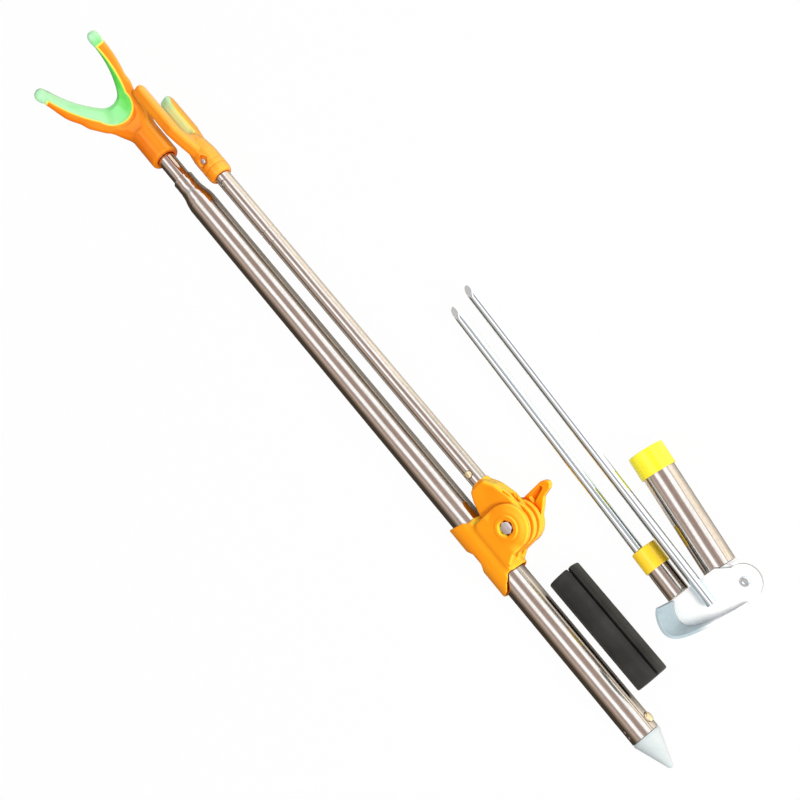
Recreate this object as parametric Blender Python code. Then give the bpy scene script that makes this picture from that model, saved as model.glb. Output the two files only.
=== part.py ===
"""Rod holder bracket kit: a telescopic bank pole with a U fork, a clamp-on folding arm with a
two-finger rear holder, the push-in ground stake and the slit rubber sleeve that come with it.

Metres, +Z up. The pole lies along X, its pointed foot toward -X and its fork toward +X.
The arm lies folded beside the pole on the -Y side. All sizes below are in metres or degrees.
"""

import math

import bmesh
import bpy
from mathutils import Matrix, Vector

# How finely round things are drawn
ROUND = 40
SMALL_ROUND = 24
SHARP_ANGLE = math.radians(35)

# Gap left between pieces that touch or slide on each other
GAP = 0.0003

# Pole: outer tube with a swaged neck, inner tube, plastic foot
POLE_OD = 0.0250
POLE_WALL = 0.0008
POLE_FULL_LENGTH = 0.5830
NECK_TAPER = 0.0200
NECK_LENGTH = 0.0100
NECK_OD = 0.0192
INNER_OD = 0.0160
INNER_WALL = 0.0010
INNER_START = 0.0700
BUSH_LENGTH = 0.0250
CONE_LENGTH = 0.0305
CONE_NOSE_R = 0.0030
CONE_RIM = 0.0020
CONE_RIM_ROUND = 0.0015
CONE_RIM_DROP = 0.0006
PLUG_LENGTH = 0.0260
PLUG_WALL = 0.0024

# Snap buttons
FOOT_BUTTON_X = 0.0093
FOOT_BUTTON_R = 0.0044
FOOT_BUTTON_PROUD = 0.0020
FOOT_BUTTON_TRAVEL = 0.0025
ARM_BUTTON_PAST_KNUCKLE = 0.0090
ARM_BUTTON_R = 0.0032
ARM_BUTTON_PROUD = 0.0019
LOCK_HOLE_FROM_END = 0.0086
BUTTON_FLANGE = 0.0012
BUTTON_FLANGE_T = 0.0010
BUTTON_DEPTH = 0.0056
LEAF_T = 0.0006
LEAF_WIDTH = 0.0050
RIVET_R = 0.0012
RIVET_HEAD_R = 0.0021
RIVET_HEAD_T = 0.0008
RIVET_PLACES = (0.0062, 0.0114)
RIVET_ROLL = math.radians(38)

# Fork: socket on the inner tube, bent neck, U plate with a soft liner
SOCKET_PAST_NECK = 0.0260
SOCKET_LENGTH = 0.0380
SOCKET_OD = 0.0262
SOCKET_RIM_R = 0.0012
SOCKET_FLOOR = 0.0030
TUBE_SHORT_OF_FLOOR = 0.0010
BEND_IN_SOCKET = 0.0060
FORK_TILT = math.radians(45)
FORK_ROLL = math.radians(-14.6)
CROTCH_PAST_SOCKET = 0.0242
CROTCH_RISE = 0.0210
FORK_THICK = 0.0104
FORK_EDGE_R = 0.0030
U_RADIUS = 0.0135
CROTCH_TURN = math.radians(54)
PRONG_RADIUS = 0.1050
PRONG_TURN = math.radians(28.5)
PRONG_BASE_WIDTH = 0.0122
PRONG_TIP_WIDTH = 0.0094
TIP_CAP_LENGTH = 0.0100
LINER_THICK = 0.0020
LINER_SCOOP = 0.0150
FLARE_WIDTH = 0.0268
FLARE_DROP = 0.0140
NECK_END_DROP = 0.0090
NECK_END_HALF_WIDTH = 0.0205

# Clamp: sleeve round the pole, three plates and the arm's two fingers on one upright bolt
LINER_WALL = 0.0009
SLEEVE_R = 0.0162
SLEEVE_LOW_X = 0.1515
SLEEVE_LENGTH = 0.0703
HINGE_PAST_SLEEVE_LOW = 0.0368
HINGE_Y = -0.0318
LOW_STEP = 0.0100
HIGH_SLANT = 0.0096
LINER_INSET_LOW = 0.0160
LINER_INSET_HIGH = 0.0140
BOSS_R = 0.0195
WEB_REACH = 0.0262
PLATE_EDGE_R = 0.0014
MID_PLATE_T = 0.0049
MID_PLATE_Z = 0.00255
FINGER_T = 0.0050
FRONT_PLATE_T = 0.0064
REAR_PLATE_T = 0.0047
HUB_T = 0.0058
BOLT_D = 0.0060
BOLT_HEAD_AF = 0.0100
BOLT_HEAD_T = 0.0040
BOLT_HEAD_ROUND = 0.0008
BOLT_SHORT_OF_HUB = 0.0016
HEAD_RECESS = 0.0046
NUT_T = 0.0040
LEVER_HUB_R = 0.0190
LEVER_HUB_EDGE_R = 0.0006
LEVER_REACH = 0.0418
LEVER_EDGE_R = 0.0008
NUT_FLOOR = 0.0012
WINDOW_PAST_HINGE = -0.0003
WINDOW_R = 0.0180
WINDOW_DEPTH = 0.0036
WINDOW_ROLL = math.radians(28)

# Arm: knuckle, outer tube, inner tube and rear holder
KNUCKLE_R = 0.0104
KNUCKLE_MOUTH_R = 0.0088
KNUCKLE_EDGE_R = 0.0024
KNUCKLE_LENGTH = 0.0447
ARM_OD = 0.0142
ARM_WALL = 0.0008
ARM_INNER_WALL = 0.0009
ARM_END_BEFORE_FORK = 0.0557
CRIMPS_FROM_END = (0.0779, 0.0660)
CRIMP_DEPTH = 0.0003
CRIMP_WIDTH = 0.0026
TUBE_START_PAST_BOSS = 0.0065
INNER_BEFORE_BUTTON = 0.0080
BUTTON_ROUND = 0.0011
HOLDER_R = 0.01115
HOLDER_COLLAR = 0.0150
HOLDER_RIM = 0.0020
HOLDER_RIM_DROP = 0.0006
HOLDER_MOUTH_DROP = 0.0022
HOLDER_SHOULDER = 0.0050
HOLDER_GROOVE = 0.0006
HOLDER_BODY_LENGTH = 0.0460
HOLDER_TAPER = 0.0200
HOLDER_TAPER_END = 0.0080
FINGER_EDGE_R = 0.0030
FINGER_RISE_START = 0.0060
FINGER_RISE_END = 0.0200
FINGER_RISE_EASE = 0.0012
FINGER_STRAIGHT = 0.0320
FINGER_BELLY = 0.0180
LONG_TIP_PAST_ARM = 0.1112
SHORT_TIP_PAST_ARM = 0.0987
FINGERS_MEET_PAST_ARM = 0.0567
LONG_FINGER_Z = 0.0163
SHORT_FINGER_Z = -0.0101
LONG_FINGER_T = 0.0102
SHORT_FINGER_T = 0.0110
FINGER_WIDTH = 0.0112
PAD_T = 0.0018
PAD_PROUD = 0.0002
PAD_POINT = 0.0016
PAD_TIP_DROP = 0.0014
HOLDER_SCREW_PAST_ARM = 0.0187
SCREW_R = 0.0016
SCREW_HEAD_R = 0.0029
SCREW_HEAD_T = 0.0016
SCREW_RECESS = 0.0024
SCREW_RECESS_AF = 0.0074
TUBE_PAST_SCREW = 0.0160

# Ground stake, lying flat, turned a little about Z; local u runs along the tines, v across
STAKE_X = 0.0378
STAKE_Y = -0.1529
STAKE_TURN = math.radians(-3.8)
SOCKET_TUBE_OD = 0.0266
SOCKET_TUBE_WALL = 0.0008
SOCKET_TUBE_LENGTH = 0.1005
SOCKET_TUBE_U = 0.0195
SOCKET_TUBE_V = 0.0151
SOCKET_TUBE_TURN = math.radians(-5.7)
COLLAR_OD = 0.0292
COLLAR_LENGTH = 0.0195
COLLAR_END_T = 0.0015
RING_EDGE_R = 0.0010
PLATE_T = 0.0025
PLATE_SPAN = 0.0622
PLATE_END_R = 0.0138
TINE_D = 0.0086
TINE_NOSE_LENGTH = 0.0120
TINE_END_U = 0.3065
RIGHT_TINE_V = 0.0294
RIGHT_TINE_U = 0.0010
SHORT_TUBE_OD = 0.0190
SHORT_TUBE_WALL = 0.0008
SHORT_TUBE_U = 0.0215
SHORT_TUBE_END_U = 0.0633
SHORT_TUBE_V = 0.0538
RING_OD = 0.0212
RING_START_U = 0.0466
LIP_HEIGHT = 0.0260
LIP_LOW_HEIGHT = 0.0035
LIP_T = 0.0022
PIVOT_R = 0.0024
PIVOT_HEAD_R = 0.0044
PIVOT_HEAD_T = 0.0009
LUG_T = 0.0030
LUG_R = 0.0090
LUG_DISC_T = 0.0017
TINE_IN_TUBE = 0.0020

# Rubber sleeve, lying beside the pole
SLEEVE_X = 0.0285
RUBBER_LENGTH = 0.1055
RUBBER_Y = -0.0345
RUBBER_WIDTH = 0.0280
RUBBER_HEIGHT = 0.0248
RUBBER_BORE_R = 0.0088
RUBBER_EDGE_R = 0.0012
SLIT_WIDTH = 0.0026
SLIT_TURN = math.radians(48)
FLOOR_GAP = 0.0003

# Worked out from the sizes above
POLE_R = POLE_OD / 2
POLE_BORE_R = POLE_R - POLE_WALL
INNER_R = INNER_OD / 2
NECK_R = NECK_OD / 2
NECK_END_X = POLE_FULL_LENGTH + NECK_TAPER + NECK_LENGTH
SOCKET_R = SOCKET_OD / 2
SOCKET_START = NECK_END_X + SOCKET_PAST_NECK
SOCKET_END_X = SOCKET_START + SOCKET_LENGTH
CROTCH_X = SOCKET_END_X + CROTCH_PAST_SOCKET
SLEEVE_HIGH_X = SLEEVE_LOW_X + SLEEVE_LENGTH
HINGE_X = SLEEVE_LOW_X + HINGE_PAST_SLEEVE_LOW
WINDOW_X = HINGE_X + WINDOW_PAST_HINGE
ARM_BUTTON_X = HINGE_X + KNUCKLE_LENGTH + ARM_BUTTON_PAST_KNUCKLE
ARM_END_X = SOCKET_START - ARM_END_BEFORE_FORK
LOCK_HOLE_X = ARM_END_X - LOCK_HOLE_FROM_END
HOLDER_SCREW_X = ARM_END_X + HOLDER_SCREW_PAST_ARM
FINGERS_MEET_X = ARM_END_X + FINGERS_MEET_PAST_ARM
LONG_TIP_X = ARM_END_X + LONG_TIP_PAST_ARM
SHORT_TIP_X = ARM_END_X + SHORT_TIP_PAST_ARM
LINER_R = POLE_R + GAP + LINER_WALL
BOLT_R = BOLT_D / 2
MID_LOW = MID_PLATE_Z - MID_PLATE_T / 2
MID_HIGH = MID_PLATE_Z + MID_PLATE_T / 2
UPPER_FINGER_LOW = MID_HIGH + GAP
UPPER_FINGER_HIGH = UPPER_FINGER_LOW + FINGER_T
LOWER_FINGER_HIGH = MID_LOW - GAP
LOWER_FINGER_LOW = LOWER_FINGER_HIGH - FINGER_T
FRONT_LOW = UPPER_FINGER_HIGH + GAP
FRONT_HIGH = FRONT_LOW + FRONT_PLATE_T
REAR_HIGH = LOWER_FINGER_LOW - GAP
REAR_LOW = REAR_HIGH - REAR_PLATE_T
HUB_HIGH = REAR_LOW - GAP
HUB_LOW = HUB_HIGH - HUB_T
POLE_Z = -HUB_LOW
ARM_R = ARM_OD / 2
ARM_BORE_R = ARM_R - ARM_WALL
ARM_INNER_R = ARM_BORE_R - GAP
COLLAR_R = COLLAR_OD / 2
SOCKET_TUBE_R = SOCKET_TUBE_OD / 2
SOCKET_TUBE_Z = COLLAR_R + GAP / 2
PLATE_LOW = SOCKET_TUBE_Z + SOCKET_TUBE_R + GAP
PLATE_HIGH = PLATE_LOW + PLATE_T
TINE_R = TINE_D / 2
SHORT_TUBE_R = SHORT_TUBE_OD / 2
SHORT_TUBE_BORE_R = SHORT_TUBE_R - SHORT_TUBE_WALL
SHORT_TUBE_Z = PLATE_LOW - GAP - SHORT_TUBE_R
LEFT_TINE_V = SHORT_TUBE_V + SHORT_TUBE_BORE_R - TINE_R - GAP

# Colours
ORANGE = (0.95, 0.33, 0.02)
GREEN = (0.25, 0.90, 0.12)
YELLOW = (0.95, 0.80, 0.02)
STEEL = (0.62, 0.58, 0.54)
ZINC = (0.80, 0.82, 0.84)
BRASS = (0.83, 0.66, 0.33)
RUBBER = (0.025, 0.025, 0.023)
GREY_PLASTIC = (0.62, 0.68, 0.70)


def material(name, colour, roughness, metallic=0.0):
    """A named Principled material, made once and shared after that."""
    found = bpy.data.materials.get(name)
    if found:
        return found
    made = bpy.data.materials.new(name)
    made.use_nodes = True
    shader = made.node_tree.nodes["Principled BSDF"]
    shader.inputs["Base Color"].default_value = (*colour, 1.0)
    shader.inputs["Roughness"].default_value = roughness
    shader.inputs["Metallic"].default_value = metallic
    made.diffuse_color = (*colour, 1.0)
    return made


def frame(name, parent=None, place=Matrix()):
    """An empty that marks a body or a joint."""
    empty = bpy.data.objects.new(name, None)
    bpy.context.scene.collection.objects.link(empty)
    empty.parent = parent
    empty.matrix_local = place
    return empty


def piece(name, mesh, look, parent, place=Matrix()):
    """A finished sub-part from a bmesh, in its parent's frame."""
    bmesh.ops.recalc_face_normals(mesh, faces=mesh.faces)
    data = bpy.data.meshes.new(name)
    mesh.to_mesh(data)
    mesh.free()
    data.shade_smooth()
    data.set_sharp_from_angle(angle=SHARP_ANGLE)
    thing = bpy.data.objects.new(name, data)
    bpy.context.scene.collection.objects.link(thing)
    thing.parent = parent
    thing.matrix_local = place
    if look:
        data.materials.append(look)
    return thing


def combine(thing, mesh, operation, place=Matrix()):
    """Boolean a helper shape, given in the piece's own frame, with a piece."""
    count = len(thing.modifiers) + 1
    helper = piece(f"{thing.name}_shape_{count}", mesh, None, thing, place)
    helper.hide_render = True
    helper.display_type = "WIRE"
    change = thing.modifiers.new(f"shape {count}", "BOOLEAN")
    change.operation = operation
    change.solver = "EXACT"
    change.object = helper


def cut(thing, mesh, place=Matrix()):
    combine(thing, mesh, "DIFFERENCE", place)


def join(thing, mesh, place=Matrix()):
    combine(thing, mesh, "UNION", place)


def spun(profile, steps=ROUND):
    """A solid of revolution about X from (x, radius) points; closed, or ending on the axis."""
    mesh = bmesh.new()
    ring = [mesh.verts.new((x, 0.0, radius)) for x, radius in profile]
    edges = [mesh.edges.new(pair) for pair in zip(ring, ring[1:])]
    if profile[0][1] > 0.0:
        edges.append(mesh.edges.new((ring[-1], ring[0])))
    bmesh.ops.spin(
        mesh, geom=ring + edges, cent=(0, 0, 0), axis=(1, 0, 0),
        angle=math.tau, steps=steps, use_merge=True,
    )
    bmesh.ops.remove_doubles(mesh, verts=mesh.verts, dist=1e-6)
    bmesh.ops.dissolve_degenerate(mesh, edges=mesh.edges, dist=1e-7)
    return mesh


def rod(radius, start, end, steps=SMALL_ROUND):
    """A plain cylinder along X."""
    return spun([(start, 0.0), (start, radius), (end, radius), (end, 0.0)], steps)


def tube(outer, inner, start, end, steps=ROUND):
    """A plain pipe along X."""
    return spun([(start, outer), (end, outer), (end, inner), (start, inner)], steps)


def along_z(low):
    """Turns a shape made along X so that its x runs up from the given height."""
    return Matrix.Translation((0, 0, low)) @ Matrix.Rotation(-math.pi / 2, 4, "Y")


def prism(outline, low, high):
    """An outline in X and Y, raised from one height to another."""
    mesh = bmesh.new()
    face = mesh.faces.new([mesh.verts.new((x, y, low)) for x, y in outline])
    raised = bmesh.ops.extrude_face_region(mesh, geom=[face])
    top = [item for item in raised["geom"] if isinstance(item, bmesh.types.BMVert)]
    bmesh.ops.translate(mesh, verts=top, vec=(0, 0, high - low))
    bmesh.ops.recalc_face_normals(mesh, faces=mesh.faces)
    return mesh


def soften(mesh, width, segments=2, angle=SHARP_ANGLE):
    """Round every edge that is sharper than the angle."""
    bmesh.ops.recalc_face_normals(mesh, faces=mesh.faces)
    edges = [edge for edge in mesh.edges if edge.calc_face_angle(0.0) > angle]
    bmesh.ops.bevel(
        mesh, geom=edges, offset=width, offset_type="OFFSET", segments=segments,
        profile=0.5, affect="EDGES", clamp_overlap=True,
    )
    return mesh


def arc(x, y, radius, start, end, count):
    """Points on an arc, with angles in degrees."""
    angles = [math.radians(start + (end - start) * step / count) for step in range(count + 1)]
    return [(x + radius * math.cos(a), y + radius * math.sin(a)) for a in angles]


def circle(x, y, radius, count=SMALL_ROUND):
    return arc(x, y, radius, 0, 360 - 360 / count, count - 1)


def hexagon(x, y, across_flats):
    return arc(x, y, across_flats / math.sqrt(3), 30, 330, 5)


def block(low, high):
    """A box between two corners."""
    corners = [(low[0], low[1]), (high[0], low[1]), (high[0], high[1]), (low[0], high[1])]
    return prism(corners, low[2], high[2])


def loft(rings):
    """A closed skin through rings of as many points each, with flat ends."""
    mesh = bmesh.new()
    rows = [[mesh.verts.new(point) for point in ring] for ring in rings]
    count = len(rows[0])
    for row, following in zip(rows, rows[1:]):
        for step in range(count):
            after = (step + 1) % count
            mesh.faces.new((row[step], row[after], following[after], following[step]))
    mesh.faces.new(rows[0])
    mesh.faces.new(rows[-1])
    bmesh.ops.recalc_face_normals(mesh, faces=mesh.faces)
    return mesh


def neck_drop(share):
    """How far the pole's wall has come in at a share of the neck's taper, eased at both ends."""
    return (POLE_R - NECK_R) * share * share * (3 - 2 * share)


def outer_pole_tube(pole, steel):
    shares = [step / 6 for step in range(7)]
    outside = [(0.0, POLE_R)]
    outside += [(POLE_FULL_LENGTH + NECK_TAPER * s, POLE_R - neck_drop(s)) for s in shares]
    outside += [(NECK_END_X, NECK_R)]
    inside = [(NECK_END_X, INNER_R + GAP)]
    for share in shares[::-1]:
        bore = max(INNER_R + GAP, POLE_BORE_R - neck_drop(share))
        inside.append((POLE_FULL_LENGTH + NECK_TAPER * share, bore))
    inside += [(0.0, POLE_BORE_R)]
    shell = piece("outer_pole_tube", spun(outside + inside), steel, pole)
    hole = rod(FOOT_BUTTON_R + GAP, 0.0, POLE_R * 1.5)
    cut(shell, hole, Matrix.Translation((FOOT_BUTTON_X, 0, 0)) @ toward_minus_y())
    for x in RIVET_PLACES:
        cut(shell, rod(RIVET_R + GAP, 0.0, POLE_R * 1.5, 12), rivet_place(x))


def toward_minus_y():
    """Turns a shape made along X so that it points to -Y."""
    return Matrix.Rotation(-math.pi / 2, 4, "Z")


def rivet_place(x):
    """Out of the tube's upper back, on the +Y side of the top."""
    tip_up = Matrix.Rotation(-RIVET_ROLL, 4, "X") @ Matrix.Rotation(-math.pi / 2, 4, "Y")
    return Matrix.Translation((x, 0, 0)) @ tip_up


def cone_tip(pole, plastic):
    plug_r = POLE_BORE_R - GAP
    nose = [
        (-CONE_LENGTH + CONE_NOSE_R * (1 - math.sin(math.radians(a))),
         CONE_NOSE_R * 0.9 * math.cos(math.radians(a)))
        for a in (90, 60, 30)
    ]
    nose[0] = (-CONE_LENGTH, 0.0)
    outside = nose + [
        (-CONE_RIM - CONE_RIM_ROUND, POLE_R - CONE_RIM_DROP), (-CONE_RIM, POLE_R),
        (-GAP, POLE_R), (-GAP, plug_r), (PLUG_LENGTH, plug_r),
        (PLUG_LENGTH, plug_r - PLUG_WALL), (PLUG_WALL, plug_r - PLUG_WALL), (0.0, 0.0),
    ]
    tip = piece("cone_tip", spun(outside), plastic, pole)
    hole = rod(FOOT_BUTTON_R + GAP, 0.0, POLE_R)
    cut(tip, hole, Matrix.Translation((FOOT_BUTTON_X, 0, 0)) @ toward_minus_y())
    for x in RIVET_PLACES:
        cut(tip, rod(RIVET_R + GAP, POLE_R * 0.5, POLE_R, 12), rivet_place(x))


def tip_rivets(pole, steel):
    low = POLE_BORE_R - GAP - PLUG_WALL
    seat = POLE_R + GAP
    for number, x in enumerate(RIVET_PLACES, 1):
        profile = [
            (low, 0.0), (low, RIVET_R), (seat, RIVET_R), (seat, RIVET_HEAD_R),
            (seat + RIVET_HEAD_T * 0.6, RIVET_HEAD_R * 0.85), (seat + RIVET_HEAD_T, 0.0),
        ]
        piece(f"tip_rivet_{number}", spun(profile, 12), steel, pole, rivet_place(x))


def foot_button(button_frame, brass):
    flange_r = FOOT_BUTTON_R + BUTTON_FLANGE
    flange_top = BUTTON_DEPTH + BUTTON_FLANGE_T
    top = POLE_R + FOOT_BUTTON_PROUD
    profile = [
        (BUTTON_DEPTH, 0.0), (BUTTON_DEPTH, flange_r), (flange_top, flange_r),
        (flange_top, FOOT_BUTTON_R), (top - FOOT_BUTTON_PROUD * 0.65, FOOT_BUTTON_R),
        (top - FOOT_BUTTON_PROUD * 0.25, FOOT_BUTTON_R * 0.86),
        (top - FOOT_BUTTON_PROUD * 0.05, FOOT_BUTTON_R * 0.5), (top, 0.0),
    ]
    piece("foot_button", spun(profile, SMALL_ROUND), brass, button_frame, toward_minus_y())


def foot_button_spring(pole, steel):
    """The leaf behind the button, drawn where the pressed button meets it."""
    reach = POLE_BORE_R - GAP - PLUG_WALL - GAP
    front = BUTTON_DEPTH - FOOT_BUTTON_TRAVEL - GAP
    leaf = arc(0.0, 0.0, reach * 0.72, 100, 260, 10)
    leaf += [(front - LEAF_T, -reach * 0.55), (front, -reach * 0.2), (front, reach * 0.2)]
    leaf += [(front - LEAF_T, reach * 0.55)]
    inner = [(x * 0.9, y * 0.9) for x, y in leaf]
    ribbon = leaf + inner[::-1]
    strip = prism(ribbon, -LEAF_WIDTH / 2, LEAF_WIDTH / 2)
    turn = Matrix.Translation((FOOT_BUTTON_X, 0, 0)) @ Matrix.Rotation(-math.pi / 2, 4, "Z")
    piece("foot_button_spring", strip, steel, pole, turn @ Matrix.Rotation(math.pi / 2, 4, "X"))


def inner_guide_bush(inner, plastic):
    shape = tube(POLE_BORE_R - GAP, INNER_R + GAP, INNER_START, INNER_START + BUSH_LENGTH)
    piece("inner_guide_bush", shape, plastic, inner)


def inner_pole_tube(inner, steel):
    end = SOCKET_END_X - SOCKET_FLOOR - TUBE_SHORT_OF_FLOOR
    piece("inner_pole_tube", tube(INNER_R, INNER_R - INNER_WALL, INNER_START, end), steel, inner)


def fork_place():
    """Frame of the U: x across toward the -Y prong, y up the fork, z toward the rod's side."""
    up = Vector((
        math.cos(FORK_TILT),
        math.sin(FORK_TILT) * math.sin(FORK_ROLL),
        math.sin(FORK_TILT) * math.cos(FORK_ROLL),
    ))
    across = Vector((0.0, -math.cos(FORK_ROLL), math.sin(FORK_ROLL)))
    facing = across.cross(up)
    centre = Vector((CROTCH_X, CROTCH_RISE * math.sin(FORK_ROLL), CROTCH_RISE * math.cos(FORK_ROLL)))
    place = Matrix((across, up, facing)).transposed().to_4x4()
    place.translation = centre
    return place


def u_station(turn):
    """A point on the U's inner line where it has turned that far from the crotch, +x half.

    With it comes the outward direction. The tight arc of the crotch runs on into the wide
    arc of the prong.
    """
    outward = Vector((math.sin(turn), -math.cos(turn)))
    tight = min(turn, CROTCH_TURN)
    point = Vector((math.sin(tight), 1 - math.cos(tight))) * U_RADIUS
    wide = Vector((math.sin(turn) - math.sin(tight), math.cos(tight) - math.cos(turn)))
    return point + wide * PRONG_RADIUS, outward


def cap_turn():
    """Where the orange ends and the soft tip begins."""
    return CROTCH_TURN + PRONG_TURN - (TIP_CAP_LENGTH - PRONG_TIP_WIDTH / 2) / PRONG_RADIUS


def u_line(crotch_steps=5, prong_steps=7):
    """Stations of the U's inner line from the crotch up one side to the end of the orange."""
    prong = cap_turn() - CROTCH_TURN
    turns = [CROTCH_TURN * step / crotch_steps for step in range(crotch_steps)]
    turns += [CROTCH_TURN + prong * step / prong_steps for step in range(prong_steps + 1)]
    return [(u_station(turn), turn) for turn in turns]


def prong_width(turn):
    share = max(0.0, (turn - CROTCH_TURN) / PRONG_TURN)
    return PRONG_BASE_WIDTH + (PRONG_TIP_WIDTH - PRONG_BASE_WIDTH) * share


def fork_outline():
    """Half of the orange U in the fork's plane, from the crotch up and back down outside."""
    inner = []
    outer = []
    for (point, outward), turn in u_line():
        inner.append(point)
        if turn > CROTCH_TURN * 1.12:
            outer.append(point + outward * prong_width(turn))
    shoulder = Vector((FLARE_WIDTH, FLARE_DROP * 0.3))
    waist = Vector((NECK_END_HALF_WIDTH * 0.95, -FLARE_DROP))
    hollow = Vector((FLARE_WIDTH * 0.04, 0.0))
    outer = [waist, shoulder.lerp(waist, 0.5) - hollow, shoulder] + outer
    return [tuple(point) for point in inner + outer[::-1]]


def round_ring(centre, facing, half_width, half_thick, power):
    """One section of the fork's socket and neck, rounder at the socket than at the U."""
    ring = []
    for step in range(SMALL_ROUND):
        angle = math.tau * step / SMALL_ROUND
        cosine = math.cos(angle)
        sine = math.sin(angle)
        across = half_width * math.copysign(abs(cosine) ** (2 / power), cosine)
        rise = half_thick * math.copysign(abs(sine) ** (2 / power), sine)
        ring.append(centre + Vector((0.0, across, 0.0)) + facing * rise)
    return ring


def neck_ring(share):
    """Section of the bent neck, from the socket at 0 to the U at 1."""
    low = Vector((SOCKET_END_X - BEND_IN_SOCKET, 0.0, 0.0))
    corner = Vector((CROTCH_X - CROTCH_RISE / math.tan(FORK_TILT), 0.0, 0.0))
    rise = Vector((math.cos(FORK_TILT), 0.0, math.sin(FORK_TILT)))
    high = Vector((CROTCH_X, 0.0, CROTCH_RISE)) - rise * NECK_END_DROP
    centre = low * (1 - share) ** 2 + corner * 2 * share * (1 - share) + high * share ** 2
    ahead = (corner - low) * (1 - share) + (high - corner) * share
    ahead.normalize()
    facing = Vector((-ahead.z, 0.0, ahead.x))
    ease = share * share * (3 - 2 * share)
    half_width = SOCKET_R + (NECK_END_HALF_WIDTH - SOCKET_R) * ease
    half_thick = SOCKET_R + (FORK_THICK / 2 + GAP - SOCKET_R) * ease
    return round_ring(centre, facing, half_width, half_thick, 2.0 + 1.4 * ease)


def socket_and_neck():
    """Rings along the socket, then round the bend and up to the U."""
    up = Vector((0.0, 0.0, 1.0))
    mouth = Vector((SOCKET_START, 0.0, 0.0))
    inside_rim = Vector((SOCKET_START + SOCKET_RIM_R, 0.0, 0.0))
    rings = [round_ring(mouth, up, SOCKET_R - SOCKET_RIM_R, SOCKET_R - SOCKET_RIM_R, 2.0)]
    rings.append(round_ring(inside_rim, up, SOCKET_R, SOCKET_R, 2.0))
    return rings + [neck_ring(step / 6) for step in range(7)]


def liner_rings(extra):
    """Sections of the soft liner from one prong tip round the crotch to the other."""
    beyond = cap_turn() + TIP_CAP_LENGTH * 0.2 / PRONG_RADIUS
    stations = [station for station, _ in u_line()] + [u_station(beyond)]
    liner_half = FORK_THICK / 2 - GAP
    half = liner_half + extra * 4
    rings = []
    for point, outward in stations:
        share = max(0.0, -outward.y) ** 1.5
        middle = LINER_THICK + LINER_SCOOP * share / 2 + extra
        slant = LINER_SCOOP * share / 2 * half / liner_half
        depth_far = middle - slant
        depth_near = middle + slant
        scoop = 0.0 if extra else LINER_SCOOP * share * 0.86
        inside = -extra * 3
        rings.append([
            (point + outward * inside, -half),
            (point + outward * (scoop * 0.18 + inside), 0.0),
            (point + outward * (scoop + inside), half),
            (point + outward * depth_near, half),
            (point + outward * (depth_near + depth_far) / 2, 0.0),
            (point + outward * depth_far, -half),
        ])
    return rings


def both_sides(rings):
    """Mirror the half U and put the halves in one run, as three-number points."""
    right = [[Vector((p.x, p.y, z)) for p, z in ring] for ring in rings]
    left = [[Vector((-p.x, p.y, z)) for p, z in ring] for ring in rings[1:]]
    return left[::-1] + right


def bar_section(half_width, half_thick):
    """The prong's section, a bar with round edges, as (across, rise) points."""
    inset_width = half_width - FORK_EDGE_R
    inset_thick = half_thick - FORK_EDGE_R
    section = []
    for corner in range(4):
        across = inset_width if corner in (0, 3) else -inset_width
        rise = inset_thick if corner in (0, 1) else -inset_thick
        section += arc(across, rise, FORK_EDGE_R, corner * 90, corner * 90 + 90, 3)
    return section


def tip_cap():
    """The full round tip of a prong, from the end of the orange to the nose."""
    start = cap_turn()
    base, outward = u_station(start)
    along = Vector((-outward.y, outward.x))
    half_width = prong_width(start) / 2
    middle = base + outward * half_width
    straight = TIP_CAP_LENGTH - half_width
    section = bar_section(half_width, FORK_THICK / 2)
    rings = []
    for nose_angle in (None, 0, 25, 50, 72):
        lean = math.radians(nose_angle or 0)
        run = GAP if nose_angle is None else straight + half_width * math.sin(lean)
        grow = math.cos(lean)
        centre = middle + along * run
        ring = []
        for across, rise in section:
            place = centre + outward * across * grow
            ring.append(Vector((place.x, place.y, rise * grow)))
        rings.append(ring)
    return rings


def mirrored(rings):
    return [[Vector((-p.x, p.y, p.z)) for p in ring] for ring in rings]


def fork_head(inner, orange):
    half = fork_outline()
    outline = half + [(-x, y) for x, y in half[::-1] if x > 1e-6]
    plate = prism(outline, -FORK_THICK / 2, FORK_THICK / 2)
    head = piece("fork_head", soften(plate, FORK_EDGE_R, 3), orange, inner, fork_place())
    to_head = fork_place().inverted()
    roll = Matrix.Rotation(-FORK_ROLL, 4, "X")
    join(head, loft(socket_and_neck()), to_head @ roll)
    cut(head, loft(both_sides(liner_rings(GAP * 2))))
    bore = rod(INNER_R + GAP, SOCKET_START - SOCKET_R, SOCKET_END_X - SOCKET_FLOOR)
    cut(head, bore, to_head)


def fork_liner(inner, green):
    liner = piece("fork_liner", loft(both_sides(liner_rings(0.0))), green, inner, fork_place())
    join(liner, loft(tip_cap()))
    join(liner, loft(mirrored(tip_cap())))


def clamp_liner(slider, plastic):
    low = SLEEVE_LOW_X + LINER_INSET_LOW
    high = SLEEVE_HIGH_X - LINER_INSET_HIGH
    piece("clamp_liner", tube(LINER_R, POLE_R + GAP, low, high), plastic, slider)


def boss_outline():
    """A round boss on the bolt with a web back into the sleeve, longer toward the foot."""
    back = -SLEEVE_R * 0.52
    shoulder = HINGE_Y + (back - HINGE_Y) * 0.45
    return arc(HINGE_X, HINGE_Y, BOSS_R, 180, 360, 18) + [
        (HINGE_X + BOSS_R, back), (HINGE_X - WEB_REACH, back), (HINGE_X - BOSS_R, shoulder),
    ]


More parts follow.
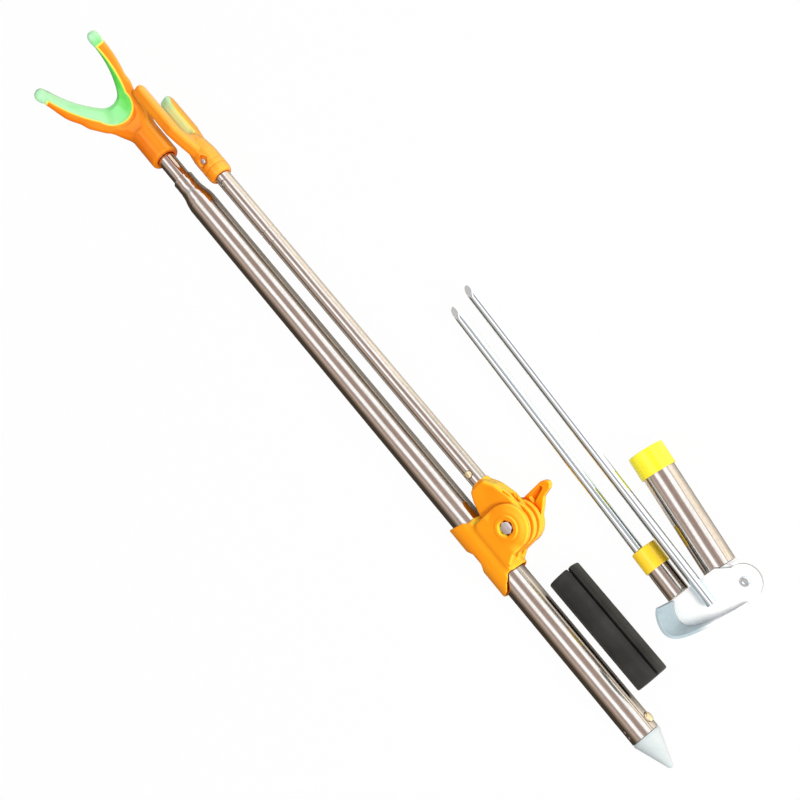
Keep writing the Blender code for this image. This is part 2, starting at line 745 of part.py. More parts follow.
def low_end_cutter(beyond):
    """What is cut from the sleeve's foot end, where the back stands longer than the front."""
    low = SLEEVE_LOW_X
    step = low + LOW_STEP
    return [
        (low - beyond, -beyond), (step, -beyond), (step, -SLEEVE_R * 0.60),
        (step - LOW_STEP * 0.10, -SLEEVE_R * 0.32), (step - LOW_STEP * 0.47, 0.0),
        (low + LOW_STEP * 0.12, SLEEVE_R * 0.28), (low - LOW_STEP * 0.08, SLEEVE_R * 0.48),
        (low - beyond, SLEEVE_R * 0.48),
    ]


def high_end_cutter(beyond):
    """What is cut from the sleeve's fork end, slanting back toward the hinge's side."""
    edge = SLEEVE_R * 1.04
    slope = HIGH_SLANT / (SLEEVE_R * 2)
    return [
        (SLEEVE_HIGH_X + slope * (beyond - SLEEVE_R), beyond), (SLEEVE_HIGH_X + beyond, beyond),
        (SLEEVE_HIGH_X + beyond, -edge), (SLEEVE_HIGH_X - slope * (edge + SLEEVE_R), -edge),
    ]


def clamp_body(clamp, orange):
    stock = rod(SLEEVE_R, SLEEVE_LOW_X, SLEEVE_HIGH_X + SLEEVE_R / 2, ROUND)
    body = piece("clamp_body", stock, orange, clamp)
    front = soften(prism(boss_outline(), FRONT_LOW, FRONT_HIGH), PLATE_EDGE_R, 3)
    join(body, front)
    join(body, prism(boss_outline(), MID_LOW, MID_HIGH))
    join(body, prism(boss_outline(), REAR_LOW, REAR_HIGH))
    beyond = SLEEVE_R * 2
    window = circle(WINDOW_X, SLEEVE_R - WINDOW_DEPTH + WINDOW_R, WINDOW_R, ROUND)
    cut(body, prism(window, -beyond, beyond), Matrix.Rotation(WINDOW_ROLL, 4, "X"))
    cut(body, prism(circle(HINGE_X, HINGE_Y, BOLT_R + GAP), -beyond, beyond))
    recess = hexagon(HINGE_X, HINGE_Y, BOLT_HEAD_AF + 4 * GAP)
    cut(body, prism(recess, FRONT_HIGH - HEAD_RECESS, beyond))
    cut(body, rod(LINER_R + GAP, SLEEVE_LOW_X - beyond, SLEEVE_HIGH_X + beyond, ROUND))
    cut(body, prism(low_end_cutter(beyond), -beyond, beyond))
    cut(body, prism(high_end_cutter(beyond), -beyond, beyond))


def hinge_bolt(clamp, steel):
    head_low = FRONT_HIGH - HEAD_RECESS + GAP
    bolt = piece("hinge_bolt", prism(hexagon(0, 0, BOLT_HEAD_AF), head_low, head_low + BOLT_HEAD_T),
                 steel, clamp, Matrix.Translation((HINGE_X, HINGE_Y, 0)))
    bolt_end = HUB_LOW + BOLT_SHORT_OF_HUB
    join(bolt, prism(circle(0, 0, BOLT_R), bolt_end, head_low + BOLT_HEAD_T / 4))
    rim = BOLT_HEAD_AF / 2 * 1.02
    guard = spun([(0.0, rim * 1.3), (0.0, rim * 2), (BOLT_HEAD_T, rim * 2), (BOLT_HEAD_T, rim),
                  (BOLT_HEAD_T - BOLT_HEAD_ROUND, rim * 1.3)])
    cut(bolt, guard, along_z(head_low + BOLT_HEAD_ROUND / 4))


def clamp_lever(lever, orange):
    """Wing on the nut; its arm lies lower than the knuckle so that both can swing."""
    arm_high = -KNUCKLE_R - GAP
    arm_low = HUB_LOW + GAP
    disc = prism(circle(0, 0, LEVER_HUB_R, 32), HUB_LOW, HUB_HIGH)
    hub = piece("clamp_lever", soften(disc, LEVER_HUB_EDGE_R), orange, lever)
    outline = [
        (-0.24, -0.36), (-0.09, -0.565), (0.03, -0.71), (0.055, -0.82), (0.07, -0.92),
        (0.12, -0.985), (0.19, -1.0), (0.255, -0.945), (0.294, -0.85), (0.30, -0.43),
        (0.30, -0.15),
    ]
    outline = [(x * LEVER_REACH, y * LEVER_REACH) for x, y in outline]
    blade = soften(prism(outline, arm_low, arm_high), LEVER_EDGE_R)
    join(hub, blade)
    slot = [(0.17, -0.80), (0.22, -0.81), (0.235, -0.77), (0.22, -0.47), (0.08, -0.47)]
    slot = [(x * LEVER_REACH, y * LEVER_REACH) for x, y in slot]
    cut(hub, prism(slot, (arm_low + arm_high) / 2, HUB_HIGH))
    cut(hub, prism(hexagon(0, 0, BOLT_HEAD_AF + 2 * GAP), HUB_LOW + NUT_FLOOR, HUB_HIGH + NUT_T))


def lever_nut(lever, steel):
    low = HUB_LOW + NUT_FLOOR + GAP
    nut = piece("lever_nut", prism(hexagon(0, 0, BOLT_HEAD_AF), low, low + NUT_T), steel, lever)
    cut(nut, prism(circle(0, 0, BOLT_R + GAP), low - NUT_T, low + NUT_T * 2))


def arm_knuckle(arm, orange):
    """Two fingers round the bolt and a socket for the arm's tube; frame is on the bolt."""
    root_r = BOSS_R + 2 * GAP
    socket_start = root_r + GAP
    socket_end = KNUCKLE_LENGTH
    shoulder = KNUCKLE_LENGTH * 0.96
    eye_r = -HINGE_Y - SLEEVE_R - 2 * GAP
    cheek = KNUCKLE_MOUTH_R * 0.86
    plan = arc(0, 0, eye_r, 90, 256, 14) + [
        (0.0, -eye_r * 1.07), (KNUCKLE_LENGTH * 0.20, -eye_r * 1.17),
        (KNUCKLE_LENGTH * 0.40, -eye_r * 1.18), (KNUCKLE_LENGTH * 0.72, -eye_r * 0.93),
        (shoulder, -cheek), (shoulder, cheek), (KNUCKLE_LENGTH * 0.78, eye_r * 0.78),
        (KNUCKLE_LENGTH * 0.54, eye_r),
    ]
    body = prism(plan, LOWER_FINGER_LOW, UPPER_FINGER_HIGH)
    knuckle = piece("arm_knuckle", soften(body, KNUCKLE_EDGE_R, 3), orange, arm)
    rim = KNUCKLE_MOUTH_R * 0.10
    socket = [
        (socket_start, 0.0), (socket_start, KNUCKLE_R - rim), (socket_start + rim, KNUCKLE_R),
        (socket_end - rim, KNUCKLE_MOUTH_R), (socket_end, KNUCKLE_MOUTH_R - rim), (socket_end, 0.0),
    ]
    join(knuckle, spun(socket, 32))
    slot = prism(circle(0, 0, root_r, 32), LOWER_FINGER_HIGH, UPPER_FINGER_LOW)
    cut(knuckle, slot)
    low = (-BOSS_R * 0.3, -BOSS_R * 2, LOWER_FINGER_HIGH)
    cut(knuckle, block(low, (root_r, BOSS_R * 2, UPPER_FINGER_LOW)))
    cut(knuckle, rod(ARM_R + GAP, socket_start + KNUCKLE_R * 0.36, socket_end + KNUCKLE_R))
    cut(knuckle, prism(circle(0, 0, BOLT_R + GAP), -KNUCKLE_R * 2, KNUCKLE_R * 2))


def arm_outer_tube(arm, steel):
    start = BOSS_R + TUBE_START_PAST_BOSS
    end = ARM_END_X - HINGE_X
    outside = [(start, ARM_R)]
    for from_end in CRIMPS_FROM_END:
        place = end - from_end
        outside += [
            (place - CRIMP_WIDTH / 2, ARM_R), (place, ARM_R - CRIMP_DEPTH),
            (place + CRIMP_WIDTH / 2, ARM_R),
        ]
    outside += [(end, ARM_R), (end, ARM_BORE_R), (start, ARM_BORE_R)]
    shell = piece("arm_outer_tube", spun(outside, 32), steel, arm)
    for x in (ARM_BUTTON_X, LOCK_HOLE_X):
        hole = rod(ARM_BUTTON_R + GAP, 0.0, ARM_OD)
        cut(shell, hole, Matrix.Translation((x - HINGE_X, 0, 0)) @ along_z(0))


def arm_button(button_frame, brass):
    top = ARM_R + ARM_BUTTON_PROUD
    low = ARM_BORE_R
    profile = [
        (low, 0.0), (low, ARM_BUTTON_R), (top - BUTTON_ROUND, ARM_BUTTON_R),
        (top - BUTTON_ROUND * 4 / 11, ARM_BUTTON_R * 0.84),
        (top - BUTTON_ROUND / 11, ARM_BUTTON_R * 0.45), (top, 0.0),
    ]
    piece("arm_button", spun(profile, SMALL_ROUND), brass, button_frame, along_z(0))


def arm_inner_tube(slide, steel):
    start = ARM_BUTTON_X - HINGE_X - INNER_BEFORE_BUTTON
    end = HOLDER_SCREW_X - HINGE_X + TUBE_PAST_SCREW
    bore = ARM_INNER_R - ARM_INNER_WALL
    shell = piece("arm_inner_tube", tube(ARM_INNER_R, bore, start, end, SMALL_ROUND), steel, slide)
    hole = rod(ARM_BUTTON_R + GAP, 0.0, ARM_OD)
    cut(shell, hole, Matrix.Translation((ARM_BUTTON_X - HINGE_X, 0, 0)) @ along_z(0))
    screw_hole = rod(SCREW_R + GAP, 0.0, ARM_OD, 12)
    cut(shell, screw_hole, Matrix.Translation((HOLDER_SCREW_X - HINGE_X, 0, 0)) @ along_z(0))


def holder_side():
    """Side view of the two fingers, x along the arm and y upward."""
    meet = FINGERS_MEET_X - HINGE_X
    long_half = LONG_FINGER_T / 2
    short_half = SHORT_FINGER_T / 2
    long_tip = LONG_TIP_X - HINGE_X - long_half
    short_tip = SHORT_TIP_X - HINGE_X - short_half
    gap_low = SHORT_FINGER_Z + short_half
    gap_high = LONG_FINGER_Z - long_half
    crotch_r = (gap_high - gap_low) / 2
    start = ARM_END_X - HINGE_X + HOLDER_BODY_LENGTH * 0.55
    points = [(start, -HOLDER_R * 0.9), (start + FINGER_BELLY, -HOLDER_R * 1.08)]
    points += [(start + FINGER_STRAIGHT, SHORT_FINGER_Z - short_half)]
    points += arc(short_tip, SHORT_FINGER_Z, short_half, -90, 90, 8)
    points += arc(meet, (gap_low + gap_high) / 2, crotch_r, 270, 90, 8)
    points += arc(long_tip, LONG_FINGER_Z, long_half, -90, 90, 8)
    points += [(start + FINGER_STRAIGHT, LONG_FINGER_Z + long_half)]
    points += [(start + FINGER_RISE_END, LONG_FINGER_Z + FINGER_RISE_EASE)]
    points += [(start + FINGER_RISE_START, HOLDER_R * 1.08), (start, HOLDER_R * 0.9)]
    return points


def side_place():
    """Stands a side-view prism upright, its thickness across the arm."""
    return Matrix.Rotation(math.pi / 2, 4, "X")


def rear_holder(slide, orange):
    half = FINGER_WIDTH / 2
    fingers = soften(prism(holder_side(), -half, half), FINGER_EDGE_R, 3)
    holder = piece("rear_holder", fingers, orange, slide, side_place())
    start = ARM_END_X + GAP - HINGE_X
    collar = start + HOLDER_COLLAR
    end = start + HOLDER_BODY_LENGTH
    profile = [
        (start, 0.0), (start, HOLDER_R - HOLDER_MOUTH_DROP),
        (start + HOLDER_RIM, HOLDER_R - HOLDER_RIM_DROP), (start + HOLDER_SHOULDER, HOLDER_R),
        (collar - HOLDER_GROOVE, HOLDER_R), (collar, HOLDER_R - HOLDER_GROOVE),
        (collar + HOLDER_GROOVE, HOLDER_R), (end - HOLDER_TAPER, HOLDER_R),
        (end - HOLDER_TAPER_END, HOLDER_R * 0.86), (end, HOLDER_R * 0.62), (end, 0.0),
    ]
    join(holder, spun(profile, 32), side_place().inverted())
    bore_end = HOLDER_SCREW_X - HINGE_X + TUBE_PAST_SCREW + GAP
    cut(holder, rod(ARM_INNER_R + GAP, start - HOLDER_R / 2, bore_end), side_place().inverted())
    at_screw = side_place().inverted() @ Matrix.Translation((HOLDER_SCREW_X - HINGE_X, 0, 0))
    recess = prism(hexagon(0, 0, SCREW_RECESS_AF), HOLDER_R - SCREW_RECESS, HOLDER_R * 1.2)
    cut(holder, recess, at_screw)
    cut(holder, prism(circle(0, 0, SCREW_R + GAP, 12), 0.0, HOLDER_R * 1.2), at_screw)
    cut(holder, loft(pad_rings(GAP)), side_place().inverted())


def pad_rings(extra):
    """Sections of the soft pad on the short finger's upper face, widest at its tip."""
    tip = SHORT_TIP_X - HINGE_X - SHORT_FINGER_T * 0.25
    meet = FINGERS_MEET_X - HINGE_X
    face = SHORT_FINGER_Z + SHORT_FINGER_T / 2
    rings = []
    for share in (0.0, 0.3, 0.6, 0.85, 1.0):
        x = meet + (tip - meet) * share
        widest = FINGER_WIDTH / 2 - FINGER_EDGE_R
        half = PAD_POINT + (widest - PAD_POINT) * share + extra
        drop = PAD_TIP_DROP if share == 1.0 else 0.0
        low = face - PAD_T - extra
        high = face - drop + PAD_PROUD + extra * 8
        if extra and share in (0.0, 1.0):
            x += extra * (1 if share else -1)
        rings.append([
            Vector((x, -half, low)), Vector((x, half, low)),
            Vector((x, half, high)), Vector((x, -half, high)),
        ])
    return rings


def holder_liner(slide, green):
    piece("holder_liner", loft(pad_rings(0.0)), green, slide)


def holder_screw(slide, steel):
    low = ARM_INNER_R - ARM_INNER_WALL
    seat = HOLDER_R - SCREW_RECESS + GAP
    top = seat + SCREW_HEAD_T
    profile = [
        (low, 0.0), (low, SCREW_R), (seat, SCREW_R), (seat, SCREW_HEAD_R),
        (top - SCREW_HEAD_T / 4, SCREW_HEAD_R * 0.93), (top, SCREW_HEAD_R * 0.62), (top, 0.0),
    ]
    place = Matrix.Translation((HOLDER_SCREW_X - HINGE_X, 0, 0)) @ along_z(0)
    piece("holder_screw", spun(profile, 16), steel, slide, place)


def tread_edge(steps=4):
    """The plate's edge round the tread end, from the pivot's side to the inner corner.

    A smooth curve through a few points, each given as a share of the plate's span.
    """
    shares = [
        (-0.232, 0.129), (-0.212, 0.322), (-0.161, 0.595), (-0.100, 0.812), (-0.032, 0.941),
        (0.064, 1.0), (0.169, 0.994), (0.273, 0.949), (0.334, 0.892),
    ]
    points = [Vector(share) * PLATE_SPAN for share in shares]
    ends = [points[0] * 2 - points[1]] + points + [points[-1] * 2 - points[-2]]
    edge = []
    for number in range(1, len(ends) - 2):
        before, here, following, beyond = ends[number - 1:number + 3]
        for step in range(steps):
            t = step / steps
            pull = (following - before) * t + (2 * before - 5 * here + 4 * following - beyond) * t ** 2
            pull += (3 * here - before - 3 * following + beyond) * t ** 3
            edge.append(here + pull / 2)
    return edge + [points[-1]]


def plate_outline():
    """The plate seen from above, from the inner corner round the pivot end to the tread end."""
    points = [(0.330 * PLATE_SPAN, 0.209 * PLATE_SPAN)]
    points += arc(0.0, PLATE_END_R * 0.07, PLATE_END_R, 5, -160, 12)
    return points + [tuple(point) for point in tread_edge()]


def lip_rings():
    """The turned-up lip along the tread end, high at the end and falling toward the pivot."""
    run = tread_edge()
    last = len(run) - 1
    rings = []
    for number, point in enumerate(run):
        before = run[max(0, number - 1)]
        after = run[min(last, number + 1)]
        along = (after - before).normalized()
        outward = Vector((-along.y, along.x))
        share = min(1.0, number / last * 1.6)
        ease = share * share * (3 - 2 * share)
        height = LIP_LOW_HEIGHT + (LIP_HEIGHT - LIP_LOW_HEIGHT) * ease
        lean = outward * height * 0.10
        inner = point - outward * LIP_T
        rings.append([
            Vector((inner.x, inner.y, PLATE_LOW)),
            Vector((point.x, point.y, PLATE_LOW)),
            Vector((point.x + lean.x, point.y + lean.y, PLATE_HIGH + height)),
            Vector((inner.x + lean.x, inner.y + lean.y, PLATE_HIGH + height)),
        ])
    return rings


def foot_plate(stake, zinc):
    plate = piece("foot_plate", prism(plate_outline(), PLATE_LOW, PLATE_HIGH), zinc, stake)
    join(plate, loft(lip_rings()))
    cut(plate, prism(circle(0, 0, PIVOT_R + GAP), PLATE_LOW - PLATE_T, PLATE_HIGH + PLATE_T))


def tine(name, stake, zinc, start, v, z):
    """A round tine with a blunt nose that has one flat ground on it."""
    nose = TINE_END_U - TINE_NOSE_LENGTH
    rim = TINE_R * 0.1
    profile = [
        (start, 0.0), (start, TINE_R - rim), (start + rim, TINE_R), (nose, TINE_R),
        (nose + TINE_NOSE_LENGTH * 0.58, TINE_R * 0.82),
        (TINE_END_U - TINE_NOSE_LENGTH * 0.1, TINE_R * 0.50), (TINE_END_U, 0.0),
    ]
    place = Matrix.Translation((0, v, z))
    rod_piece = piece(name, spun(profile, SMALL_ROUND), zinc, stake, place)
    flat = block((0.0, -TINE_R * 2, 0.0), (TINE_NOSE_LENGTH * 2.5, TINE_R * 2, TINE_R * 2))
    slope = Matrix.Translation((nose, 0, TINE_R)) @ Matrix.Rotation(math.radians(16), 4, "Y")
    cut(rod_piece, flat, slope)


def short_tube(stake, steel):
    place = Matrix.Translation((0, SHORT_TUBE_V, SHORT_TUBE_Z))
    shape = tube(SHORT_TUBE_R, SHORT_TUBE_BORE_R, SHORT_TUBE_U, SHORT_TUBE_END_U, 32)
    piece("short_tube", shape, steel, stake, place)


def end_ring(name, parent, look, place, outer, inner, lip, start, end):
    """A plastic ring pushed over a tube's end, with a lip that covers the tube's edge."""
    inside_end = end - COLLAR_END_T
    profile = [
        (start, outer - RING_EDGE_R * 0.3), (start + RING_EDGE_R * 0.4, outer),
        (end - RING_EDGE_R * 1.6, outer), (end - RING_EDGE_R * 0.5, outer - RING_EDGE_R * 0.35),
        (end, outer - RING_EDGE_R), (end, lip),
        (inside_end, lip), (inside_end, inner), (start, inner),
    ]
    piece(name, spun(profile, 32), look, parent, place)


def stake_pivot(stake, zinc):
    """Rivet through plate and lug, with a low head on each side."""
    seat = PLATE_HIGH + GAP
    under = PLATE_LOW - GAP - LUG_T - GAP
    profile = [
        (under - PIVOT_HEAD_T, 0.0), (under - PIVOT_HEAD_T, PIVOT_HEAD_R * 0.8),
        (under, PIVOT_HEAD_R), (under, PIVOT_R), (seat, PIVOT_R), (seat, PIVOT_HEAD_R),
        (seat + PIVOT_HEAD_T * 0.7, PIVOT_HEAD_R * 0.8), (seat + PIVOT_HEAD_T, 0.0),
    ]
    piece("pivot_rivet", spun(profile, SMALL_ROUND), zinc, stake, along_z(0))


def socket_place():
    """Frame at the socket tube's lower end, x along the tube."""
    shift = Matrix.Translation((SOCKET_TUBE_U, SOCKET_TUBE_V, SOCKET_TUBE_Z))
    return shift @ Matrix.Rotation(SOCKET_TUBE_TURN, 4, "Z")


def socket_lug(swing, zinc):
    """Tongue on the rivet, with a disc that closes the tube's lower end."""
    high = PLATE_LOW - GAP
    low = high - LUG_T
    outline = arc(0, 0, LUG_R, 120, 330, 12) + [
        (SOCKET_TUBE_U, SOCKET_TUBE_V - LUG_R), (SOCKET_TUBE_U, SOCKET_TUBE_V + LUG_R * 0.8),
    ]
    lug = piece("socket_lug", prism(outline, low, high), zinc, swing)
    disc = rod(SOCKET_TUBE_R, -GAP - LUG_DISC_T, -GAP, 32)
    join(lug, disc, socket_place())
    cut(lug, prism(circle(0, 0, PIVOT_R + GAP), low - LUG_R, high + LUG_R))
    side = SOCKET_TUBE_OD * 2
    inside_tube = block((0.0, -side, -side), (side, side, side))
    cut(lug, inside_tube, socket_place() @ Matrix.Translation((-GAP, 0, 0)))


def socket_tube(swing, steel):
    shape = tube(SOCKET_TUBE_R, SOCKET_TUBE_R - SOCKET_TUBE_WALL, 0.0, SOCKET_TUBE_LENGTH)
    piece("socket_tube", shape, steel, swing, socket_place())


def rubber_outline():
    """C section, y across and z up: a flattened outside, a round bore and the slit."""
    half_width = RUBBER_WIDTH / 2
    half_height = RUBBER_HEIGHT / 2
    slit_outer = SLIT_WIDTH / 2 / half_height
    slit_inner = SLIT_WIDTH / 2 / RUBBER_BORE_R
    top = math.pi / 2
    outer = []
    steps = 34
    for step in range(steps + 1):
        angle = top + SLIT_TURN + slit_outer + (math.tau - 2 * slit_outer) * step / steps
        cosine = math.cos(angle)
        sine = math.sin(angle)
        across = half_width * math.copysign(abs(cosine) ** 0.78, cosine)
        rise = half_height * math.copysign(abs(sine) ** 0.78, sine)
        outer.append((across, rise))
    inner = []
    steps = 22
    for step in range(steps + 1):
        angle = top + SLIT_TURN + slit_inner + (math.tau - 2 * slit_inner) * step / steps
        inner.append((RUBBER_BORE_R * math.cos(angle), RUBBER_BORE_R * math.sin(angle)))
    return outer + inner[::-1]


def rubber_sleeve(lift, rubber):
    """The slit is near the top, on the side away from the pole."""
    mesh = prism(rubber_outline(), 0.0, RUBBER_LENGTH)
    ends = [e for e in mesh.edges if e.calc_face_angle(0.0) > SHARP_ANGLE
            and abs(e.verts[0].co.z - e.verts[1].co.z) < 1e-6]
    bmesh.ops.bevel(
        mesh, geom=ends, offset=RUBBER_EDGE_R, segments=2, profile=0.5, affect="EDGES",
    )
    upright = Matrix(((0, 0, 1, 0), (1, 0, 0, 0), (0, 1, 0, 0), (0, 0, 0, 1)))
    place = Matrix.Translation((SLEEVE_X, RUBBER_Y, RUBBER_HEIGHT / 2 + FLOOR_GAP)) @ upright
    piece("rubber_sleeve", mesh, rubber, lift, place)


def build_bracket(origin):
    orange = material("orange nylon", ORANGE, 0.35)
    green = material("green soft grip", GREEN, 0.40)
    steel = material("polished stainless", STEEL, 0.12, 1.0)
    brass = material("brass", BRASS, 0.25, 1.0)
    grey = material("light grey plastic", GREY_PLASTIC, 0.55)
    pole = frame("pole_frame", origin, Matrix.Translation((0, 0, POLE_Z)))
    outer_pole_tube(pole, steel)
    cone_tip(pole, grey)
    tip_rivets(pole, steel)
    foot_button_spring(pole, steel)
    foot_button(frame("foot_button_axis", pole, Matrix.Translation((FOOT_BUTTON_X, 0, 0))), brass)
    inner = frame("inner_pole_axis", pole)
    inner_guide_bush(inner, grey)
    inner_pole_tube(inner, steel)
    fork_head(inner, orange)
    fork_liner(inner, green)
    slider = frame("clamp_slide_axis", pole)
    clamp_liner(slider, orange)
    clamp = frame("clamp_turn_axis", slider)
    clamp_body(clamp, orange)
    hinge_bolt(clamp, steel)
    hinge = Matrix.Translation((HINGE_X, HINGE_Y, 0))
    lever = frame("lever_axis", clamp, hinge)
    clamp_lever(lever, orange)
    lever_nut(lever, steel)
    arm = frame("arm_swing_axis", clamp, hinge)
    arm_knuckle(arm, orange)
    arm_outer_tube(arm, steel)
    button = frame("arm_button_axis", arm, Matrix.Translation((ARM_BUTTON_X - HINGE_X, 0, 0)))
    arm_button(button, brass)
    slide = frame("arm_slide_axis", arm)
    arm_inner_tube(slide, steel)
    rear_holder(slide, orange)
    holder_liner(slide, green)
    holder_screw(slide, steel)


def build_stake(origin):
    zinc = material("polished zinc plate", ZINC, 0.10, 1.0)
    steel = material("polished stainless", STEEL, 0.12, 1.0)
    yellow = material("yellow plastic", YELLOW, 0.35)
    turn = Matrix.Rotation(STAKE_TURN, 4, "Z")
    stake = frame("stake_axis", origin, Matrix.Translation((STAKE_X, STAKE_Y, 0)) @ turn)
    foot_plate(stake, zinc)
    tine("right_tine", stake, zinc, RIGHT_TINE_U, RIGHT_TINE_V, PLATE_HIGH + GAP + TINE_R)
    tine("left_tine", stake, zinc, SHORT_TUBE_U + TINE_IN_TUBE, LEFT_TINE_V, SHORT_TUBE_Z)
    short_tube(stake, steel)
    ring_place = Matrix.Translation((0, SHORT_TUBE_V, SHORT_TUBE_Z))
    end_ring("short_tube_ring", stake, yellow, ring_place, RING_OD / 2, SHORT_TUBE_R + GAP,
             SHORT_TUBE_BORE_R, RING_START_U, SHORT_TUBE_END_U + GAP + COLLAR_END_T)
    stake_pivot(stake, zinc)
    swing = frame("socket_swing_axis", stake)
    socket_lug(swing, zinc)
    socket_tube(swing, steel)
    collar_end = SOCKET_TUBE_LENGTH + GAP + COLLAR_END_T
    end_ring("socket_collar", swing, yellow, socket_place(), COLLAR_R, SOCKET_TUBE_R + GAP,
             SOCKET_TUBE_R - SOCKET_TUBE_WALL, collar_end - COLLAR_LENGTH, collar_end)


def centre_on_floor(origin):
    """Move the whole kit so that its box's bottom centre is at the world's origin."""
    bpy.context.view_layer.update()
    view = bpy.context.evaluated_depsgraph_get()
    low = Vector((1e9, 1e9, 1e9))
    high = -low
    for thing in bpy.data.objects:
        if thing.type != "MESH" or thing.hide_render:
            continue
        shown = thing.evaluated_get(view)
        for vertex in shown.data.vertices:
            point = shown.matrix_world @ vertex.co
            low = Vector(map(min, low, point))
            high = Vector(map(max, high, point))
    origin.location = (-(low.x + high.x) / 2, -(low.y + high.y) / 2, -low.z)
    bpy.context.view_layer.update()


def main():
    for thing in list(bpy.data.objects):
        bpy.data.objects.remove(thing)
    origin = frame("kit_origin")
    build_bracket(origin)
    build_stake(origin)
    rubber = material("black rubber", RUBBER, 0.7)
    rubber_sleeve(frame("sleeve_axis", origin), rubber)
    centre_on_floor(origin)


main()
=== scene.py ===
# %% [markdown]
# # A rod holder kit for the bank
# The CAD model gives every place and size. This lesson dresses it: each visible part is made
# again with finer shapes and real finishes, and rides on the CAD body that it belongs to.

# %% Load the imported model
import math

import bmesh
import bpy
from mathutils import Matrix, Vector


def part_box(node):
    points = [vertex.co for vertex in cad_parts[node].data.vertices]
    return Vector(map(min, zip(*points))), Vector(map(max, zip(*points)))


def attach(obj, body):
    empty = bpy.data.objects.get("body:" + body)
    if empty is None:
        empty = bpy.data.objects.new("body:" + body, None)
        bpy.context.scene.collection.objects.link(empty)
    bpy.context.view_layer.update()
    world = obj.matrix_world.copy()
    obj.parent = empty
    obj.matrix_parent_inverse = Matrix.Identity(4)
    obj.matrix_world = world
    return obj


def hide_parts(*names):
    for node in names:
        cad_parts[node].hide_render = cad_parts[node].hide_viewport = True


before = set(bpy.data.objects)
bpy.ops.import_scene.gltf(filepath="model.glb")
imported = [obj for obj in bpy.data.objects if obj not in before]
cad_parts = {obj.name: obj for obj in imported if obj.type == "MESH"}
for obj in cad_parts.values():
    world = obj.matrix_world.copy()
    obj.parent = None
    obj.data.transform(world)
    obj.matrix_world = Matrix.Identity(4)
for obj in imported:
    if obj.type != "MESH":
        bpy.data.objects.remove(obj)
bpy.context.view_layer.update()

# %% [markdown]
# ## Places taken from the CAD model
# Every piece below is built round an axis of the CAD model, so the axes are worked out once from
# the boxes of its nodes. A tube's box gives its centre line and its radius.


# %% Work out the axes of the pole, the arm, the bolt and the rivet
def box_centre(node):
    low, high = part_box(node)
    return (low + high) / 2


def half_width(node):
    """Half of a node's size across the pole, which is a tube's radius."""
    low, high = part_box(node)
    return (high - low).y / 2


def at(x, y, z):
    """A move to a place."""
    return Matrix.Translation((x, y, z))


pole_low, pole_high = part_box("outer_pole_tube")
pole_axis = box_centre("outer_pole_tube")
POLE_R = half_width("outer_pole_tube")
arm_low, arm_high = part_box("arm_outer_tube")
arm_axis = box_centre("arm_outer_tube")
ARM_R = half_width("arm_outer_tube")
bolt_centre = box_centre("hinge_bolt")
rivet_centre = box_centre("pivot_rivet")
pole_place = at(0, pole_axis.y, pole_axis.z)
arm_place = at(0, arm_axis.y, arm_axis.z)
print("pole radius", round(POLE_R, 5), "arm radius", round(ARM_R, 5))

# %% [markdown]
# ## Frames for the stake
# The stake lies turned by a few degrees, so it gets a frame of its own, and so does the socket
# tube that swings on it. Shapes are made along X, and two quarter turns stand them upright or
# point them to the near side.

# %% Work out the frames of the stake and of its socket tube
STAKE_TURN = math.radians(-3.8)
SOCKET_TURN = math.radians(-5.7)
SOCKET_ALONG = 0.0195
SOCKET_ACROSS = 0.0151
stake_frame = at(rivet_centre.x, rivet_centre.y, 0.0) @ Matrix.Rotation(STAKE_TURN, 4, "Z")
socket_frame = stake_frame @ at(SOCKET_ALONG, SOCKET_ACROSS, box_centre("socket_tube").z)
socket_frame = socket_frame @ Matrix.Rotation(SOCKET_TURN, 4, "Z")
rivet_along, rivet_across, _ = Matrix.Rotation(-STAKE_TURN, 3, "Z") @ rivet_centre
upright = Matrix.Rotation(-math.pi / 2, 4, "Y")
to_minus_y = Matrix.Rotation(-math.pi / 2, 4, "Z")
print("stake frame at", [round(part, 4) for part in stake_frame.translation])

# %% [markdown]
# ## Camera
# A perspective camera is set by its place and by three directions: to its right, up, and back
# toward the photographer.

# %% Place the camera
IMAGE_SIZE = 800
FOCAL_PIXELS = 1500
SENSOR_MM = 36.0
CAMERA_FROM_FOOT = Vector((0.0016, -0.5855, 1.0644))
CAMERA_RIGHT = Vector((-0.6199, -0.5946, -0.5120))
CAMERA_BACK = Vector((-0.2653, -0.4552, 0.8499))

camera_data = bpy.data.cameras.new("photo camera")
camera_data.sensor_width = SENSOR_MM
camera_data.lens = FOCAL_PIXELS / IMAGE_SIZE * SENSOR_MM
camera = bpy.data.objects.new("photo_camera", camera_data)
bpy.context.scene.collection.objects.link(camera)
camera_back = CAMERA_BACK.normalized()
camera_up = camera_back.cross(CAMERA_RIGHT).normalized()
camera_right = camera_up.cross(camera_back)
foot = Vector((pole_low.x, pole_axis.y, 0.0))
camera.matrix_world = Matrix.Translation(foot + CAMERA_FROM_FOOT) @ Matrix(
    (camera_right, camera_up, camera_back)
).transposed().to_4x4()
bpy.context.scene.camera = camera
bpy.context.scene.view_settings.view_transform = "Standard"
print("lens in mm:", camera_data.lens)

# %% [markdown]
# ## A turned part
# Tubes, rings, buttons and rivets are all solids of revolution: one outline swept round an axis.
# Spin does that from a row of vertices. The ends that touch the axis are merged afterwards, and
# the normals are worked out again, because a spin can come out inside out.

# %% A helper for turned parts
SAME_PLACE = 1e-6
NO_LENGTH = 1e-7


